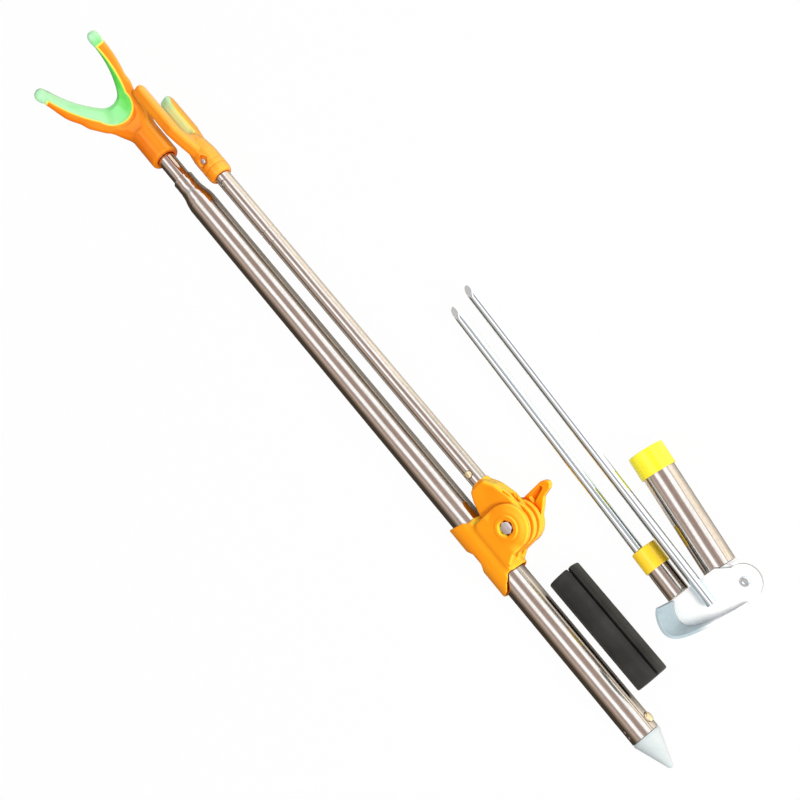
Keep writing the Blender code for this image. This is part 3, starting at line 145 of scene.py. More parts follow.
def turned(profile, steps=96):
    """A bmesh solid about X from (x, radius) points, closed, or ending on the axis."""
    mesh = bmesh.new()
    ring = [mesh.verts.new((x, 0.0, radius)) for x, radius in profile]
    edges = [mesh.edges.new(pair) for pair in zip(ring, ring[1:])]
    if profile[0][1] > 0.0:
        edges.append(mesh.edges.new((ring[-1], ring[0])))
    bmesh.ops.spin(
        mesh, geom=ring + edges, cent=(0, 0, 0), axis=(1, 0, 0), angle=math.tau, steps=steps,
        use_merge=True,
    )
    bmesh.ops.remove_doubles(mesh, verts=mesh.verts, dist=SAME_PLACE)
    bmesh.ops.dissolve_degenerate(mesh, edges=mesh.edges, dist=NO_LENGTH)
    bmesh.ops.recalc_face_normals(mesh, faces=mesh.faces)
    return mesh


trial_rod = turned([(0.0, 0.0), (0.0, 0.004), (0.010, 0.004), (0.010, 0.0)])
print("a plain turned rod has", len(trial_rod.faces), "faces")
trial_rod.free()

# %% [markdown]
# ## Outlines
# No edge of the real parts is quite sharp. An outline's corners are swapped for short curves, and
# the outline of a button ends in a shallow dome.

# %% Helpers for outlines
DOME_FULLNESS = 0.8


def eased(share):
    """Zero to one with no corner at either end."""
    share = min(1.0, max(0.0, share))
    return share * share * (3 - 2 * share)


def rounded(profile, corners, radius, steps=5):
    """The profile with the corners of those numbers swapped for short curves."""
    points = [Vector(point) for point in profile]
    made = []
    for number, point in enumerate(points):
        if number not in corners:
            made.append(tuple(point))
            continue
        start = point + (points[number - 1] - point).normalized() * radius
        end = point + (points[(number + 1) % len(points)] - point).normalized() * radius
        for step in range(steps + 1):
            share = step / steps
            here = start.lerp(point, share).lerp(point.lerp(end, share), share)
            made.append((here.x, max(0.0, here.y)))
    return made


def dome(low, top, radius, roundness, steps=6):
    """Profile of a button whose top is a shallow dome."""
    points = [(low, 0.0), (low, radius), (top - roundness, radius)]
    for step in range(1, steps + 1):
        lean = math.pi / 2 * step / steps
        x = top - roundness * (1 - math.sin(lean))
        points.append((x, radius * max(0.0, math.cos(lean)) ** DOME_FULLNESS))
    points[-1] = (top, 0.0)
    return points


print("a dome's outline has", len(dome(0.0, 0.002, 0.002, 0.001)), "points")

# %% [markdown]
# ## Drilling
# A hole is cut with Blender's exact Boolean on a throwaway object, whose result is read back as a
# new mesh. A plain rod serves as the drill.


# %% Helpers that drill
def scratch_object(mesh):
    """A throwaway object that takes over a bmesh."""
    data = bpy.data.meshes.new("scratch")
    mesh.to_mesh(data)
    mesh.free()
    thing = bpy.data.objects.new("scratch", data)
    bpy.context.scene.collection.objects.link(thing)
    return thing


def drilled(mesh, cutters, operation="DIFFERENCE"):
    """The mesh with each cutter, given in the same frame, taken away or joined on."""
    work = scratch_object(mesh)
    tools = [scratch_object(cutter) for cutter in cutters]
    for tool in tools:
        change = work.modifiers.new("cut", "BOOLEAN")
        change.operation = operation
        change.solver = "EXACT"
        change.object = tool
    made = bmesh.new()
    made.from_object(work, bpy.context.evaluated_depsgraph_get())
    for thing in [work] + tools:
        bpy.data.objects.remove(thing)
    bmesh.ops.remove_doubles(made, verts=made.verts, dist=SAME_PLACE)
    return made


def pin(radius, start, end, place=Matrix(), steps=48):
    """A plain rod used as a drill."""
    mesh = turned([(start, 0.0), (start, radius), (end, radius), (end, 0.0)], steps)
    bmesh.ops.transform(mesh, matrix=place, verts=mesh.verts)
    return mesh


trial_block = drilled(pin(0.004, 0.0, 0.010), [pin(0.002, -0.010, 0.020, upright)])
print("the rod with a hole across it has", len(trial_block.faces), "faces")
trial_block.free()

# %% [markdown]
# ## Finishing a piece
# A finished piece keeps its object at the origin and carries its place in its mesh. Two measures
# for painted light and shade stay on the mesh: how squarely it looks toward the lit side, which
# places a painted highlight, and how steep its faces are, which places painted shade.

# %% Helpers that finish a piece
SHARP = math.radians(32)
ALL_SMOOTH = math.pi
# Direction toward the lit side, for the painted highlight on the plastics
PAINTED_LIGHT_DIRECTION = Vector((-0.35, -0.80, 0.30)).normalized()


def mark_painted_light_and_shade(data):
    """Keep measures for painted light and shade: facing the lit side, and steepness of faces."""
    lit = data.attributes.new("toward_painted_light", "FLOAT", "POINT")
    lit.data.foreach_set("value", [vertex.normal.dot(PAINTED_LIGHT_DIRECTION) for vertex in data.vertices])
    steep = data.attributes.new("steep", "FLOAT", "FACE")
    steep.data.foreach_set("value", [1 - abs(face.normal.z) for face in data.polygons])


def finish_piece(name, mesh, look, body, nodes=(), place=Matrix(), sharp=SHARP):
    """Put a bmesh in its place, write it to an object at the origin and let it ride on a body."""
    bmesh.ops.transform(mesh, matrix=place, verts=mesh.verts)
    data = bpy.data.meshes.new(name)
    mesh.to_mesh(data)
    mesh.free()
    mark_painted_light_and_shade(data)
    data.shade_smooth()
    data.set_sharp_from_angle(angle=sharp)
    data.materials.append(look)
    piece = bpy.data.objects.new(name, data)
    bpy.context.scene.collection.objects.link(piece)
    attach(piece, body)
    if nodes:
        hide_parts(*nodes)
    print(name, "rides on", body, "with", len(data.polygons), "faces")
    return piece


print("the lit side lies toward", [round(part, 2) for part in PAINTED_LIGHT_DIRECTION])

# %% [markdown]
# ## A moulded part
# The orange nylon parts are moulded, so no edge on them is sharp and every joint between two forms
# is a soft fillet. A copy of the CAD node is merged and remeshed into small even faces, and a few
# rounds of smoothing then wear every edge by the same small radius, as a mould does. Where two
# nodes are one moulding in the photograph, both go in, one of them grown a little so that they
# meet.

# %% Helpers for moulded parts
LOOSE_CORNERS = 2e-6


def merged_copy(node):
    """A bmesh of a CAD node, whose loose triangles are joined."""
    mesh = bmesh.new()
    mesh.from_mesh(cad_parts[node].data)
    bmesh.ops.remove_doubles(mesh, verts=mesh.verts, dist=LOOSE_CORNERS)
    return mesh


def smooth_all(mesh, verts, rounds):
    for _ in range(rounds):
        bmesh.ops.smooth_vert(
            mesh, verts=verts, factor=0.5, use_axis_x=True, use_axis_y=True, use_axis_z=True
        )


def moulded_copy(nodes, voxel, rounds, grow=0.0):
    """A bmesh of one or more CAD nodes with soft edges all over."""
    gathered = bmesh.new()
    for number, node in enumerate(nodes):
        merged = merged_copy(node)
        merged.normal_update()
        if number:
            for vertex in merged.verts:
                vertex.co += vertex.normal * grow
        data = bpy.data.meshes.new("gathered")
        merged.to_mesh(data)
        merged.free()
        gathered.from_mesh(data)
    work = scratch_object(gathered)
    remesh = work.modifiers.new("even faces", "REMESH")
    remesh.mode = "VOXEL"
    remesh.voxel_size = voxel
    shape = bmesh.new()
    shape.from_object(work, bpy.context.evaluated_depsgraph_get())
    bpy.data.objects.remove(work)
    smooth_all(shape, shape.verts, rounds)
    shape.normal_update()
    return shape


trial_copy = merged_copy("clamp_body")
print("the clamp's CAD node has", len(trial_copy.verts), "corners")
trial_copy.free()

# %% [markdown]
# ## A pressed part
# The stake's sheet steel keeps its flat faces, so it isn't remeshed. Its merged copy only gets a
# narrow bevel on the edges that stick out, which is enough to catch a line of light.

# %% A helper for pressed parts
SHEET_BEVEL = 0.0003
ALMOST_FLAT = math.radians(1.0)
OUTER_EDGE = math.radians(40)


def pressed_copy(node):
    """A bmesh of a CAD node whose outer edges are worn by a narrow bevel."""
    mesh = merged_copy(node)
    bmesh.ops.dissolve_limit(
        mesh, angle_limit=ALMOST_FLAT, verts=mesh.verts[:], edges=mesh.edges[:]
    )
    worn = [
        edge for edge in mesh.edges
        if len(edge.link_faces) == 2 and edge.is_convex and edge.calc_face_angle() > OUTER_EDGE
    ]
    bmesh.ops.bevel(
        mesh, geom=worn, offset=SHEET_BEVEL, segments=3, profile=0.5, affect="EDGES",
        material=-1, clamp_overlap=True,
    )
    return mesh


print("sheet edges are worn by", SHEET_BEVEL * 1000, "mm")

# %% [markdown]
# ## A two-shot moulding
# The fork and the short finger are moulded twice: hard orange nylon first, then a soft green grip
# that lies flush in it. Both come from one even body. A measure says how far a point is inside the
# grip's area. The core sinks a little there, and the grip sinks outside it, so their two smooth
# surfaces cross on a clean line with a fine groove. The same measure is kept as an attribute, and
# the materials use it for the yellow line where the two plastics meet.

# %% Helpers for two-shot mouldings
GRIP_DEPTH = 0.00045
GRIP_BLEND = 0.00045
GRIP_WALL = 0.0007


def thicken(skin, wall):
    """Give an open skin an inner side at an even depth and close it along its border."""
    skin.normal_update()
    outer_faces = skin.faces[:]
    border = [edge for edge in skin.edges if edge.is_boundary]
    under = {}
    for vertex in skin.verts[:]:
        under[vertex] = skin.verts.new(vertex.co - vertex.normal * wall, vertex)
    for face in outer_faces:
        skin.faces.new([under[vertex] for vertex in reversed(face.verts)])
    for edge in border:
        loop = edge.link_loops[0]
        first, second = loop.vert, loop.link_loop_next.vert
        skin.faces.new((second, first, under[first], under[second]))
    skin.normal_update()


def two_shot(body, inside_grip):
    """Split one moulded body into a hard core and a soft grip."""
    body.verts.layers.float.new("into_grip")
    grip = body.copy()
    for mesh, sign in ((body, 1), (grip, -1)):
        mesh.normal_update()
        layer = mesh.verts.layers.float["into_grip"]
        for vertex in mesh.verts:
            measure = inside_grip(vertex.co)
            vertex[layer] = measure
            sink = eased((sign * measure + GRIP_BLEND) / (2 * GRIP_BLEND))
            vertex.co -= vertex.normal * GRIP_DEPTH * sink
    layer = grip.verts.layers.float["into_grip"]
    outside = [face for face in grip.faces if max(v[layer] for v in face.verts) < -3 * GRIP_BLEND]
    bmesh.ops.delete(grip, geom=outside, context="FACES")
    thicken(grip, GRIP_WALL)
    return body, grip


print("core and grip sink by", GRIP_DEPTH * 1000, "mm past their border")

# %% [markdown]
# ## Shared effects as node groups
# Two effects turn up in several finishes. Drawn metal has fine lines along its length and slow
# blotches of tone. Moulded plastic has a faint skin, slow changes of tone and the faint scuffs of
# handling. Each is built once as a group with named inputs and outputs.


# %% Helpers for node groups
def new_group(name, inputs, outputs):
    """An empty group with its input node and its output node."""
    group = bpy.data.node_groups.new(name, "ShaderNodeTree")
    for label, kind, value in inputs:
        socket = group.interface.new_socket(label, in_out="INPUT", socket_type=kind)
        if value is not None:
            socket.default_value = value
    for label in outputs:
        group.interface.new_socket(label, in_out="OUTPUT", socket_type="NodeSocketFloat")
    return group, group.nodes.new("NodeGroupInput"), group.nodes.new("NodeGroupOutput")


def add(tree, kind, **settings):
    node = tree.nodes.new(kind)
    for label, value in settings.items():
        setattr(node, label, value)
    return node


def put_value(tree, value, socket):
    """Set a socket to a number, or link another node's output to it."""
    if isinstance(value, (int, float)):
        socket.default_value = value
    else:
        tree.links.new(value, socket)


def noise_at(tree, vector, scale, detail, roughness=0.5):
    node = add(tree, "ShaderNodeTexNoise")
    put_value(tree, scale, node.inputs["Scale"])
    node.inputs["Detail"].default_value = detail
    node.inputs["Roughness"].default_value = roughness
    tree.links.new(vector, node.inputs["Vector"])
    return node.outputs["Fac"]


def remap(tree, value, low, high, to_low=0.0, to_high=1.0):
    """Change the range low to high into another one, with nothing past its ends."""
    node = add(tree, "ShaderNodeMapRange")
    node.inputs["From Min"].default_value = low
    node.inputs["From Max"].default_value = high
    node.inputs["To Min"].default_value = to_low
    node.inputs["To Max"].default_value = to_high
    tree.links.new(value, node.inputs["Value"])
    return node.outputs["Result"]


print("node groups so far:", len(bpy.data.node_groups))

# %% [markdown]
# Drawn metal is a noise that is stretched along the tube, which leaves long thin lines, beside a
# plain slow noise for the blotches.

# %% Build the group for drawn metal
LINE_STRETCH = (0.035, 1.0, 1.0)
LINE_SCALE = 900.0
BLOTCH_SCALE = 420.0
drawn, drawn_in, drawn_out = new_group(
    "drawn metal",
    [("Vector", "NodeSocketVector", None), ("Line Scale", "NodeSocketFloat", LINE_SCALE)],
    ("Lines", "Blotches"),
)
stretch = add(drawn, "ShaderNodeVectorMath", operation="MULTIPLY")
stretch.inputs[1].default_value = LINE_STRETCH
drawn.links.new(drawn_in.outputs["Vector"], stretch.inputs[0])
drawn_lines = noise_at(drawn, stretch.outputs["Vector"], drawn_in.outputs["Line Scale"], 2.0, 0.6)
drawn.links.new(drawn_lines, drawn_out.inputs["Lines"])
drawn_blotches = noise_at(drawn, drawn_in.outputs["Vector"], BLOTCH_SCALE, 4.0)
drawn.links.new(drawn_blotches, drawn_out.inputs["Blotches"])
print(drawn.name, "has", len(drawn.nodes), "nodes")

# %% [markdown]
# Moulded plastic has three noises: a fine one for the skin, a slow one for the tone, and one of
# which only the peaks are kept, as scuffs.

# %% Build the group for moulded plastic
SKIN_SCALE = 1800.0
TONE_SCALE = 38.0
SCUFF_SCALE = 420.0
SCUFF_PEAKS = (0.58, 0.72)
moulded, moulded_in, moulded_out = new_group(
    "moulded skin",
    [("Vector", "NodeSocketVector", None), ("Skin Scale", "NodeSocketFloat", SKIN_SCALE)],
    ("Skin", "Tone", "Scuffs"),
)
moulded_place = moulded_in.outputs["Vector"]
scuff_noise = noise_at(moulded, moulded_place, SCUFF_SCALE, 5.0, 0.7)
for label, value in (
    ("Skin", noise_at(moulded, moulded_place, moulded_in.outputs["Skin Scale"], 3.0)),
    ("Tone", noise_at(moulded, moulded_place, TONE_SCALE, 2.0)),
    ("Scuffs", remap(moulded, scuff_noise, *SCUFF_PEAKS)),
):
    moulded.links.new(value, moulded_out.inputs[label])
print(moulded.name, "has", len(moulded.nodes), "nodes")

# %% [markdown]
# ## Materials
# Each finish is one Principled shader. What changes over the surface comes from the groups through
# Object coordinates, in metres, or from a measure that the mesh carries. What is the same all over
# is set on the shader itself.


# %% Helpers that build a material
def start_material(name, metallic, turn=0.0):
    """A material whose pattern is turned by an angle, with its tree, shader and place."""
    material = bpy.data.materials.new(name)
    material.use_nodes = True
    tree = material.node_tree
    shader = tree.nodes["Principled BSDF"]
    shader.inputs["Metallic"].default_value = metallic
    shader.inputs["Specular IOR Level"].default_value = 0.5 if metallic else 1.0
    coordinates = add(tree, "ShaderNodeTexCoord")
    mapping = add(tree, "ShaderNodeMapping")
    mapping.inputs["Rotation"].default_value = (0.0, 0.0, -turn)
    tree.links.new(coordinates.outputs["Object"], mapping.inputs["Vector"])
    return material, tree, shader, mapping.outputs["Vector"]


def put_group(tree, group, vector, **values):
    node = add(tree, "ShaderNodeGroup", node_tree=group)
    tree.links.new(vector, node.inputs["Vector"])
    for label, value in values.items():
        node.inputs[label.replace("_", " ")].default_value = value
    return node


def maths(tree, operation, first, second):
    """The result of a Math node, from numbers or other nodes' outputs."""
    node = add(tree, "ShaderNodeMath", operation=operation)
    for socket, value in zip(node.inputs, (first, second)):
        put_value(tree, value, socket)
    return node.outputs["Value"]


def mix_colours(tree, factor, first, second):
    """Mix two colours, each given as a tuple or as another node's output."""
    node = add(tree, "ShaderNodeMix", data_type="RGBA")
    for label, colour in (("A", first), ("B", second)):
        if isinstance(colour, tuple):
            node.inputs[label].default_value = (*colour, 1.0)
        else:
            tree.links.new(colour, node.inputs[label])
    tree.links.new(factor, node.inputs["Factor"])
    return node.outputs["Result"]


def put_bump(tree, shader, height, distance, strength):
    node = add(tree, "ShaderNodeBump")
    node.inputs["Distance"].default_value = distance
    node.inputs["Strength"].default_value = strength
    tree.links.new(height, node.inputs["Height"])
    tree.links.new(node.outputs["Normal"], shader.inputs["Normal"])


print("finishes come from", drawn.name, "and", moulded.name)

# %% [markdown]
# ## Metals
# The tubes are drawn and polished stainless steel, the tines are zinc-plated and the snap buttons
# are brass. The drawing leaves lines along each tube, so the stake's metals are turned with the
# stake. The lines change the roughness a little, which is what breaks up the reflections.

# %% Make the metals
STEEL_TONES = ((0.55, 0.495, 0.445), (0.70, 0.645, 0.595), 0.07, 0.13)
ZINC_TONES = ((0.74, 0.84, 0.90), (0.84, 0.95, 1.0), 0.08, 0.14)
BRASS_TONES = ((0.92, 0.74, 0.42), (1.0, 0.90, 0.66), 0.14, 0.24)
BOLT_TONES = ((0.66, 0.60, 0.60), (0.80, 0.75, 0.74), 0.30, 0.42)
LINE_HEIGHT = 0.00002
LINE_BUMP = 0.08
LINE_SHARE, BLOTCH_SHARE = 0.6, 0.4
METAL_SPREAD = (0.36, 0.64)
LINE_SPREAD = (0.3, 0.7)


def drawn_material(name, dark, light, rough_low, rough_high, turn=0.0):
    """Metal with fine lines along its length and slow blotches of tone."""
    material, tree, shader, vector = start_material(name, 1.0, turn)
    group = put_group(tree, drawn, vector)
    lines = maths(tree, "MULTIPLY", group.outputs["Lines"], LINE_SHARE)
    blotches = maths(tree, "MULTIPLY", group.outputs["Blotches"], BLOTCH_SHARE)
    factor = remap(tree, maths(tree, "ADD", lines, blotches), *METAL_SPREAD)
    tree.links.new(mix_colours(tree, factor, dark, light), shader.inputs["Base Color"])
    rough = remap(tree, group.outputs["Lines"], *LINE_SPREAD, rough_low, rough_high)
    tree.links.new(rough, shader.inputs["Roughness"])
    put_bump(tree, shader, group.outputs["Lines"], LINE_HEIGHT, LINE_BUMP)
    return material


stainless = drawn_material("polished stainless", *STEEL_TONES)
stake_stainless = drawn_material(
    "polished stainless of the stake", *STEEL_TONES, STAKE_TURN + SOCKET_TURN
)
short_stainless = drawn_material(
    "polished stainless of the short tube", *STEEL_TONES, STAKE_TURN
)
zinc = drawn_material("bright zinc", *ZINC_TONES, STAKE_TURN)
brass = drawn_material("brass", *BRASS_TONES)
bolt_steel = drawn_material("dull bolt steel", *BOLT_TONES)
print("metals:", len(bpy.data.materials))

# %% [markdown]
# ## Plastics
# Moulded plastic has one smooth colour, a faint skin and small dull scuffs. Three tints can lie
# over the colour. Bright plastics get a deeper red-orange painted shade in grooves and recesses,
# which an Ambient Occlusion node finds. A yellow line marks where two plastics meet. And a painted
# highlight may make one side brighter than the rest.

# %% Helpers for plastics
HOLLOW_REACH = 0.006
HOLLOW_SAMPLES = 8
SCUFF_DULLNESS = 0.14
SKIN_DEPTH = 0.000006
SKIN_BUMP = 0.5
TONE_SPREAD = (0.35, 0.65)
WHITE_SHINE = (1.0, 1.0, 1.0)


def shader_of(material):
    return material.node_tree.nodes["Principled BSDF"]


def tint(material, share, colour):
    """Mix another colour over a finish's own, by a share from zero to one."""
    tree = material.node_tree
    base = shader_of(material).inputs["Base Color"]
    tree.links.new(mix_colours(tree, share, base.links[0].from_socket, colour), base)


def hollow_share(tree, distance, full, none):
    """One where the occlusion value is at full, zero where it is at none."""
    node = add(tree, "ShaderNodeAmbientOcclusion")
    node.samples = HOLLOW_SAMPLES
    node.inputs["Distance"].default_value = distance
    return remap(tree, node.outputs["AO"], full, none, 1.0, 0.0)


def kept_share(tree, attribute, low, high):
    """Zero to one as a measure that the mesh carries goes from low to high."""
    measure = add(tree, "ShaderNodeAttribute", attribute_name=attribute)
    return remap(tree, measure.outputs["Fac"], low, high)


def moulded_material(
    name, base, pale, rough, skin_depth=SKIN_DEPTH, skin_scale=SKIN_SCALE, recess_shade=None,
    meet=None, shine=WHITE_SHINE, deep=0.10, open_face=0.62, turn=0.0,
):
    """Plastic with a faint skin, slow changes of tone and small dull scuffs.

    recess_shade is the painted shade colour of its grooves, which lies between the occlusion
    values deep and open_face, and shine tints its highlights. meet is a colour and two measures
    between which it fades in toward the line where a grip meets the core.
    """
    material, tree, shader, vector = start_material(name, 0.0, turn)
    group = put_group(tree, moulded, vector, Skin_Scale=skin_scale)
    factor = remap(tree, group.outputs["Tone"], *TONE_SPREAD)
    tree.links.new(mix_colours(tree, factor, base, pale), shader.inputs["Base Color"])
    # Painted shade: grooves and recesses turn a deeper colour where occlusion is high
    if recess_shade:
        tint(material, hollow_share(tree, HOLLOW_REACH, deep, open_face), recess_shade)
    if meet:
        line_colour, far, near = meet
        tint(material, kept_share(tree, "into_grip", far, near), line_colour)
    dull = remap(tree, group.outputs["Scuffs"], 0.0, 1.0, rough, rough + SCUFF_DULLNESS)
    tree.links.new(dull, shader.inputs["Roughness"])
    put_bump(tree, shader, group.outputs["Skin"], skin_depth, SKIN_BUMP)
    shader.inputs["Specular Tint"].default_value = (*shine, 1.0)
    return material


pale_grey = moulded_material(
    "pale grey plastic", (0.52, 0.585, 0.615), (0.58, 0.64, 0.67), 0.40
)
print("the foot's plastic:", pale_grey.name)

# %% [markdown]
# ## The orange nylon
# All orange parts are one nylon in four versions, each with its own painted light and shade:
# the clamp gets a painted highlight that makes it nearly yellow toward the lit side, the lever has
# slots in a deep painted shade, and the fork and the rear holder have a yellow line beside their
# grips. Each gets its painted highlight toward the lit side by its own measure.

# %% Make the orange nylons
CLAMP_TONES = ((0.95, 0.275, 0.003), (0.98, 0.33, 0.006))
HOLDER_TONES = ((0.95, 0.235, 0.003), (0.98, 0.29, 0.006))
FORK_TONES = ((0.95, 0.20, 0.003), (0.98, 0.25, 0.006))
# Painted shade colours for grooves, recesses and the lever's slots
RECESS_SHADE_ORANGE = (0.74, 0.055, 0.003)
SLOT_SHADE_RED = (0.74, 0.030, 0.002)
GOLD_SHINE = (1.0, 0.72, 0.22)
LINE_YELLOW = (1.0, 0.84, 0.06)
PAINTED_HIGHLIGHT_CLAMP = (1.0, 0.66, 0.045)
PAINTED_HIGHLIGHT_HOLDER = (1.0, 0.52, 0.060)
PAINTED_HIGHLIGHT_FORK = (1.0, 0.40, 0.030)
NYLON_GLOSS = 0.5
core_line = (LINE_YELLOW, -0.0007, -0.0001)
orange = moulded_material(
    "orange nylon", *CLAMP_TONES, rough=0.34, recess_shade=RECESS_SHADE_ORANGE, shine=GOLD_SHINE
)
lever_orange = moulded_material(
    "orange nylon of the lever", *CLAMP_TONES, rough=0.20, recess_shade=SLOT_SHADE_RED,
    shine=GOLD_SHINE, deep=0.52, open_face=0.86,
)
holder_orange = moulded_material(
    "orange nylon of the rear holder", *HOLDER_TONES, rough=0.16, recess_shade=RECESS_SHADE_ORANGE,
    meet=core_line, shine=GOLD_SHINE, deep=0.30, open_face=0.74,
)
cored_orange = moulded_material(
    "orange nylon round the fork's grip", *FORK_TONES, rough=0.14, recess_shade=RECESS_SHADE_ORANGE,
    meet=core_line, shine=GOLD_SHINE, deep=0.30, open_face=0.74,
)
# Painted highlight: each orange turns yellower on faces toward the lit side
for look, colour, low, high in (
    (orange, PAINTED_HIGHLIGHT_CLAMP, 0.33, 0.66), (lever_orange, PAINTED_HIGHLIGHT_CLAMP, 0.36, 0.80),
    (holder_orange, PAINTED_HIGHLIGHT_HOLDER, 0.36, 0.95), (cored_orange, PAINTED_HIGHLIGHT_FORK, 0.50, 1.00),
):
    tint(look, kept_share(look.node_tree, "toward_painted_light", low, high), colour)
for look in (orange, lever_orange):
    shader_of(look).inputs["Specular IOR Level"].default_value = NYLON_GLOSS
print("orange nylons:", [look.name for look in (orange, lever_orange, holder_orange, cored_orange)])

# %% [markdown]
# ## The green grips
# The fork's soft grip is a full green with a painted mint highlight on the left prong and at both
# tips. The rear holder's pad is a paler green with a mint end. Places on the piece tell the shader
# where. The fork's yellow line is laid once more over the mint.


# %% Make the green grips
def split_place(tree, vector):
    """The three parts of a place, each as an output."""
    node = add(tree, "ShaderNodeSeparateXYZ")
    tree.links.new(vector, node.inputs["Vector"])
    return node.outputs


MINT = (0.46, 0.90, 0.52)
GRIP_LINE = (0.0016, 0.0003)
PAD_LINE = (0.0012, 0.0002)
LEFT_OF_POLE, RIGHT_OF_POLE = 0.014, 0.018
FORK_TIPS = (0.010, 0.001)
PAD_TIP = (0.016, 0.004)
fork_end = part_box("fork_head")[1].x
pad_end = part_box("holder_liner")[1].x

green = moulded_material(
    "green soft grip", (0.08, 0.76, 0.06), (0.20, 0.88, 0.16), rough=0.18,
    meet=(LINE_YELLOW, *GRIP_LINE),
)
tree = green.node_tree
places = split_place(tree, tree.nodes["Texture Coordinate"].outputs["Object"])
# Painted highlight: mint on the left prong and near the fork's tips
mint_highlight_left = remap(tree, places["Y"], pole_axis.y - LEFT_OF_POLE, pole_axis.y + RIGHT_OF_POLE)
mint_highlight_tips = remap(tree, places["X"], *[fork_end - from_end for from_end in FORK_TIPS])
tint(green, maths(tree, "MAXIMUM", mint_highlight_left, mint_highlight_tips), MINT)
tint(green, kept_share(tree, "into_grip", *GRIP_LINE), LINE_YELLOW)

pad_green = moulded_material(
    "pale green soft pad", (0.76, 1.0, 0.30), (0.92, 1.0, 0.42), rough=0.26,
    meet=(LINE_YELLOW, *PAD_LINE),
)
tree = pad_green.node_tree
places = split_place(tree, tree.nodes["Texture Coordinate"].outputs["Object"])
at_pad_tip = remap(tree, places["X"], *[pad_end - from_end for from_end in PAD_TIP])
tint(pad_green, at_pad_tip, MINT)
print("the fork's grip has", len(green.node_tree.nodes), "nodes")

# %% [markdown]
# ## Plated sheet
# The tread plate is pressed sheet with a dull plating, so it takes the finish with a skin and not
# the one with drawn lines. Its steep faces below the lip get a grey painted shade, and its bent lip
# gets a blue painted reflection of the sky side of the room at its far end.

# %% Make the plated sheets
SHEET_TONES = ((0.84, 0.86, 0.88), (0.93, 0.95, 0.97), 0.24)
SHEET_SKIN = 700.0
SHADED_EDGE_GREY = (0.26, 0.27, 0.28)
SKY_REFLECTION_BLUE = (0.36, 0.465, 0.52)
ABOVE_PLATE = (0.0002, 0.0012)
PAST_RIVET = (0.034, 0.046)
STEEP_FACES = (0.1, 0.6)
plate_zinc = moulded_material("plated steel sheet", *SHEET_TONES, skin_scale=SHEET_SKIN)
lip_zinc = moulded_material(
    "plated steel sheet with a bent lip", *SHEET_TONES, skin_scale=SHEET_SKIN, turn=STAKE_TURN
)
tree = lip_zinc.node_tree
places = split_place(tree, tree.nodes["Mapping"].outputs["Vector"])
plate_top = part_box("right_tine")[0].z
bent_up = remap(tree, places["Z"], *[plate_top + above for above in ABOVE_PLATE])
sky_reflection_end = remap(tree, places["Y"], *[rivet_across + past for past in PAST_RIVET])
upright_faces = kept_share(tree, "steep", *STEEP_FACES)
low_down = maths(tree, "SUBTRACT", 1.0, bent_up)
# Painted shade: grey on steep faces below the lip
tint(lip_zinc, maths(tree, "MULTIPLY", upright_faces, low_down), SHADED_EDGE_GREY)
# Painted reflection: blue on the bent lip toward its far end
tint(lip_zinc, maths(tree, "MULTIPLY", bent_up, sky_reflection_end), SKY_REFLECTION_BLUE)
print("the plate's top lies at", round(plate_top * 1000, 2), "mm")

# %% [markdown]
# ## Yellow rings and black rubber
# The two rings are one yellow plastic, the smaller one a little warmer. The rubber has a coarse
# skin and hardly any shine, and none at all in its slit, so an Ambient Occlusion node takes its
# highlight away there. The plain value on the same socket is the shine of its open faces.

# %% Make the yellows and the rubber
RUBBER_SHINE = 0.35
yellow = moulded_material("yellow plastic", (0.98, 0.80, 0.004), (1.0, 0.90, 0.010), rough=0.26)
warm_yellow = moulded_material(
    "warm yellow plastic", (0.98, 0.62, 0.004), (1.0, 0.70, 0.010), rough=0.28
)
black_rubber = moulded_material(
    "black rubber", (0.018, 0.018, 0.017), (0.034, 0.034, 0.032), rough=0.50,
    skin_depth=0.00005, skin_scale=900.0,
)
tree = black_rubber.node_tree
rubber_gloss = shader_of(black_rubber).inputs["Specular IOR Level"]
rubber_gloss.default_value = RUBBER_SHINE
open_faces = hollow_share(tree, distance=0.004, full=1.0, none=0.45)
tree.links.new(maths(tree, "MULTIPLY", open_faces, RUBBER_SHINE), rubber_gloss)
print("materials:", len(bpy.data.materials))

# %% [markdown]
# ## The pole
# The outer tube is plain for most of its length, then swaged down to a neck that holds the inner
# tube. Near the snap button its outline has extra points, so that the drilled hole changes only a
# short stretch of the long tube.

# %% Turn the outer tube
NECK_TAPER = 0.0200
NECK_LENGTH = 0.0100
NECK_R = 0.0096
NECK_STEPS = 60
NECK_LEAD = 0.0030
NECK_RIM = 0.0004
POLE_WALL = 0.0008
INNER_R = 0.0080
INNER_WALL = 0.0010
GAP = 0.0003
EDGE_ROUND = 0.0002
NECK_ROUND = 0.0003
PLAIN_END = 0.0040
HOLE_MARGIN = 0.0060
start = pole_low.x
end = pole_high.x
full = end - NECK_TAPER - NECK_LENGTH
button_x = box_centre("foot_button").x
hole_low = button_x - HOLE_MARGIN
hole_high = button_x + HOLE_MARGIN


def neck_radius(x):
    """The tube's outer radius along the swaged neck."""
    return POLE_R + (NECK_R - POLE_R) * eased((x - full) / NECK_TAPER)


outside = [(start, POLE_R - EDGE_ROUND), (start + EDGE_ROUND, POLE_R), (hole_low, POLE_R)]
outside += [(hole_high, POLE_R), (full - PLAIN_END, POLE_R)]
for step in range(NECK_STEPS + 1):
    x = full - NECK_LEAD + (end - NECK_RIM - full + NECK_LEAD) * step / NECK_STEPS
    outside.append((x, neck_radius(x)))
outside.append((end, NECK_R - NECK_ROUND))
inside = [(end, INNER_R + GAP), (full + NECK_TAPER, INNER_R + GAP)]
inside += [(x, POLE_R - POLE_WALL) for x in (full, hole_high, hole_low, start)]
tube_mesh = turned(outside + inside, 128)
print("the neck starts", round((end - full) * 1000, 1), "mm from the tube's end")

# %% [markdown]
# The dies that press the neck leave slight ripples in it, which break up its reflections. Two
# waves that run round the neck as well as along it make them. The hole for the snap button comes
# last.

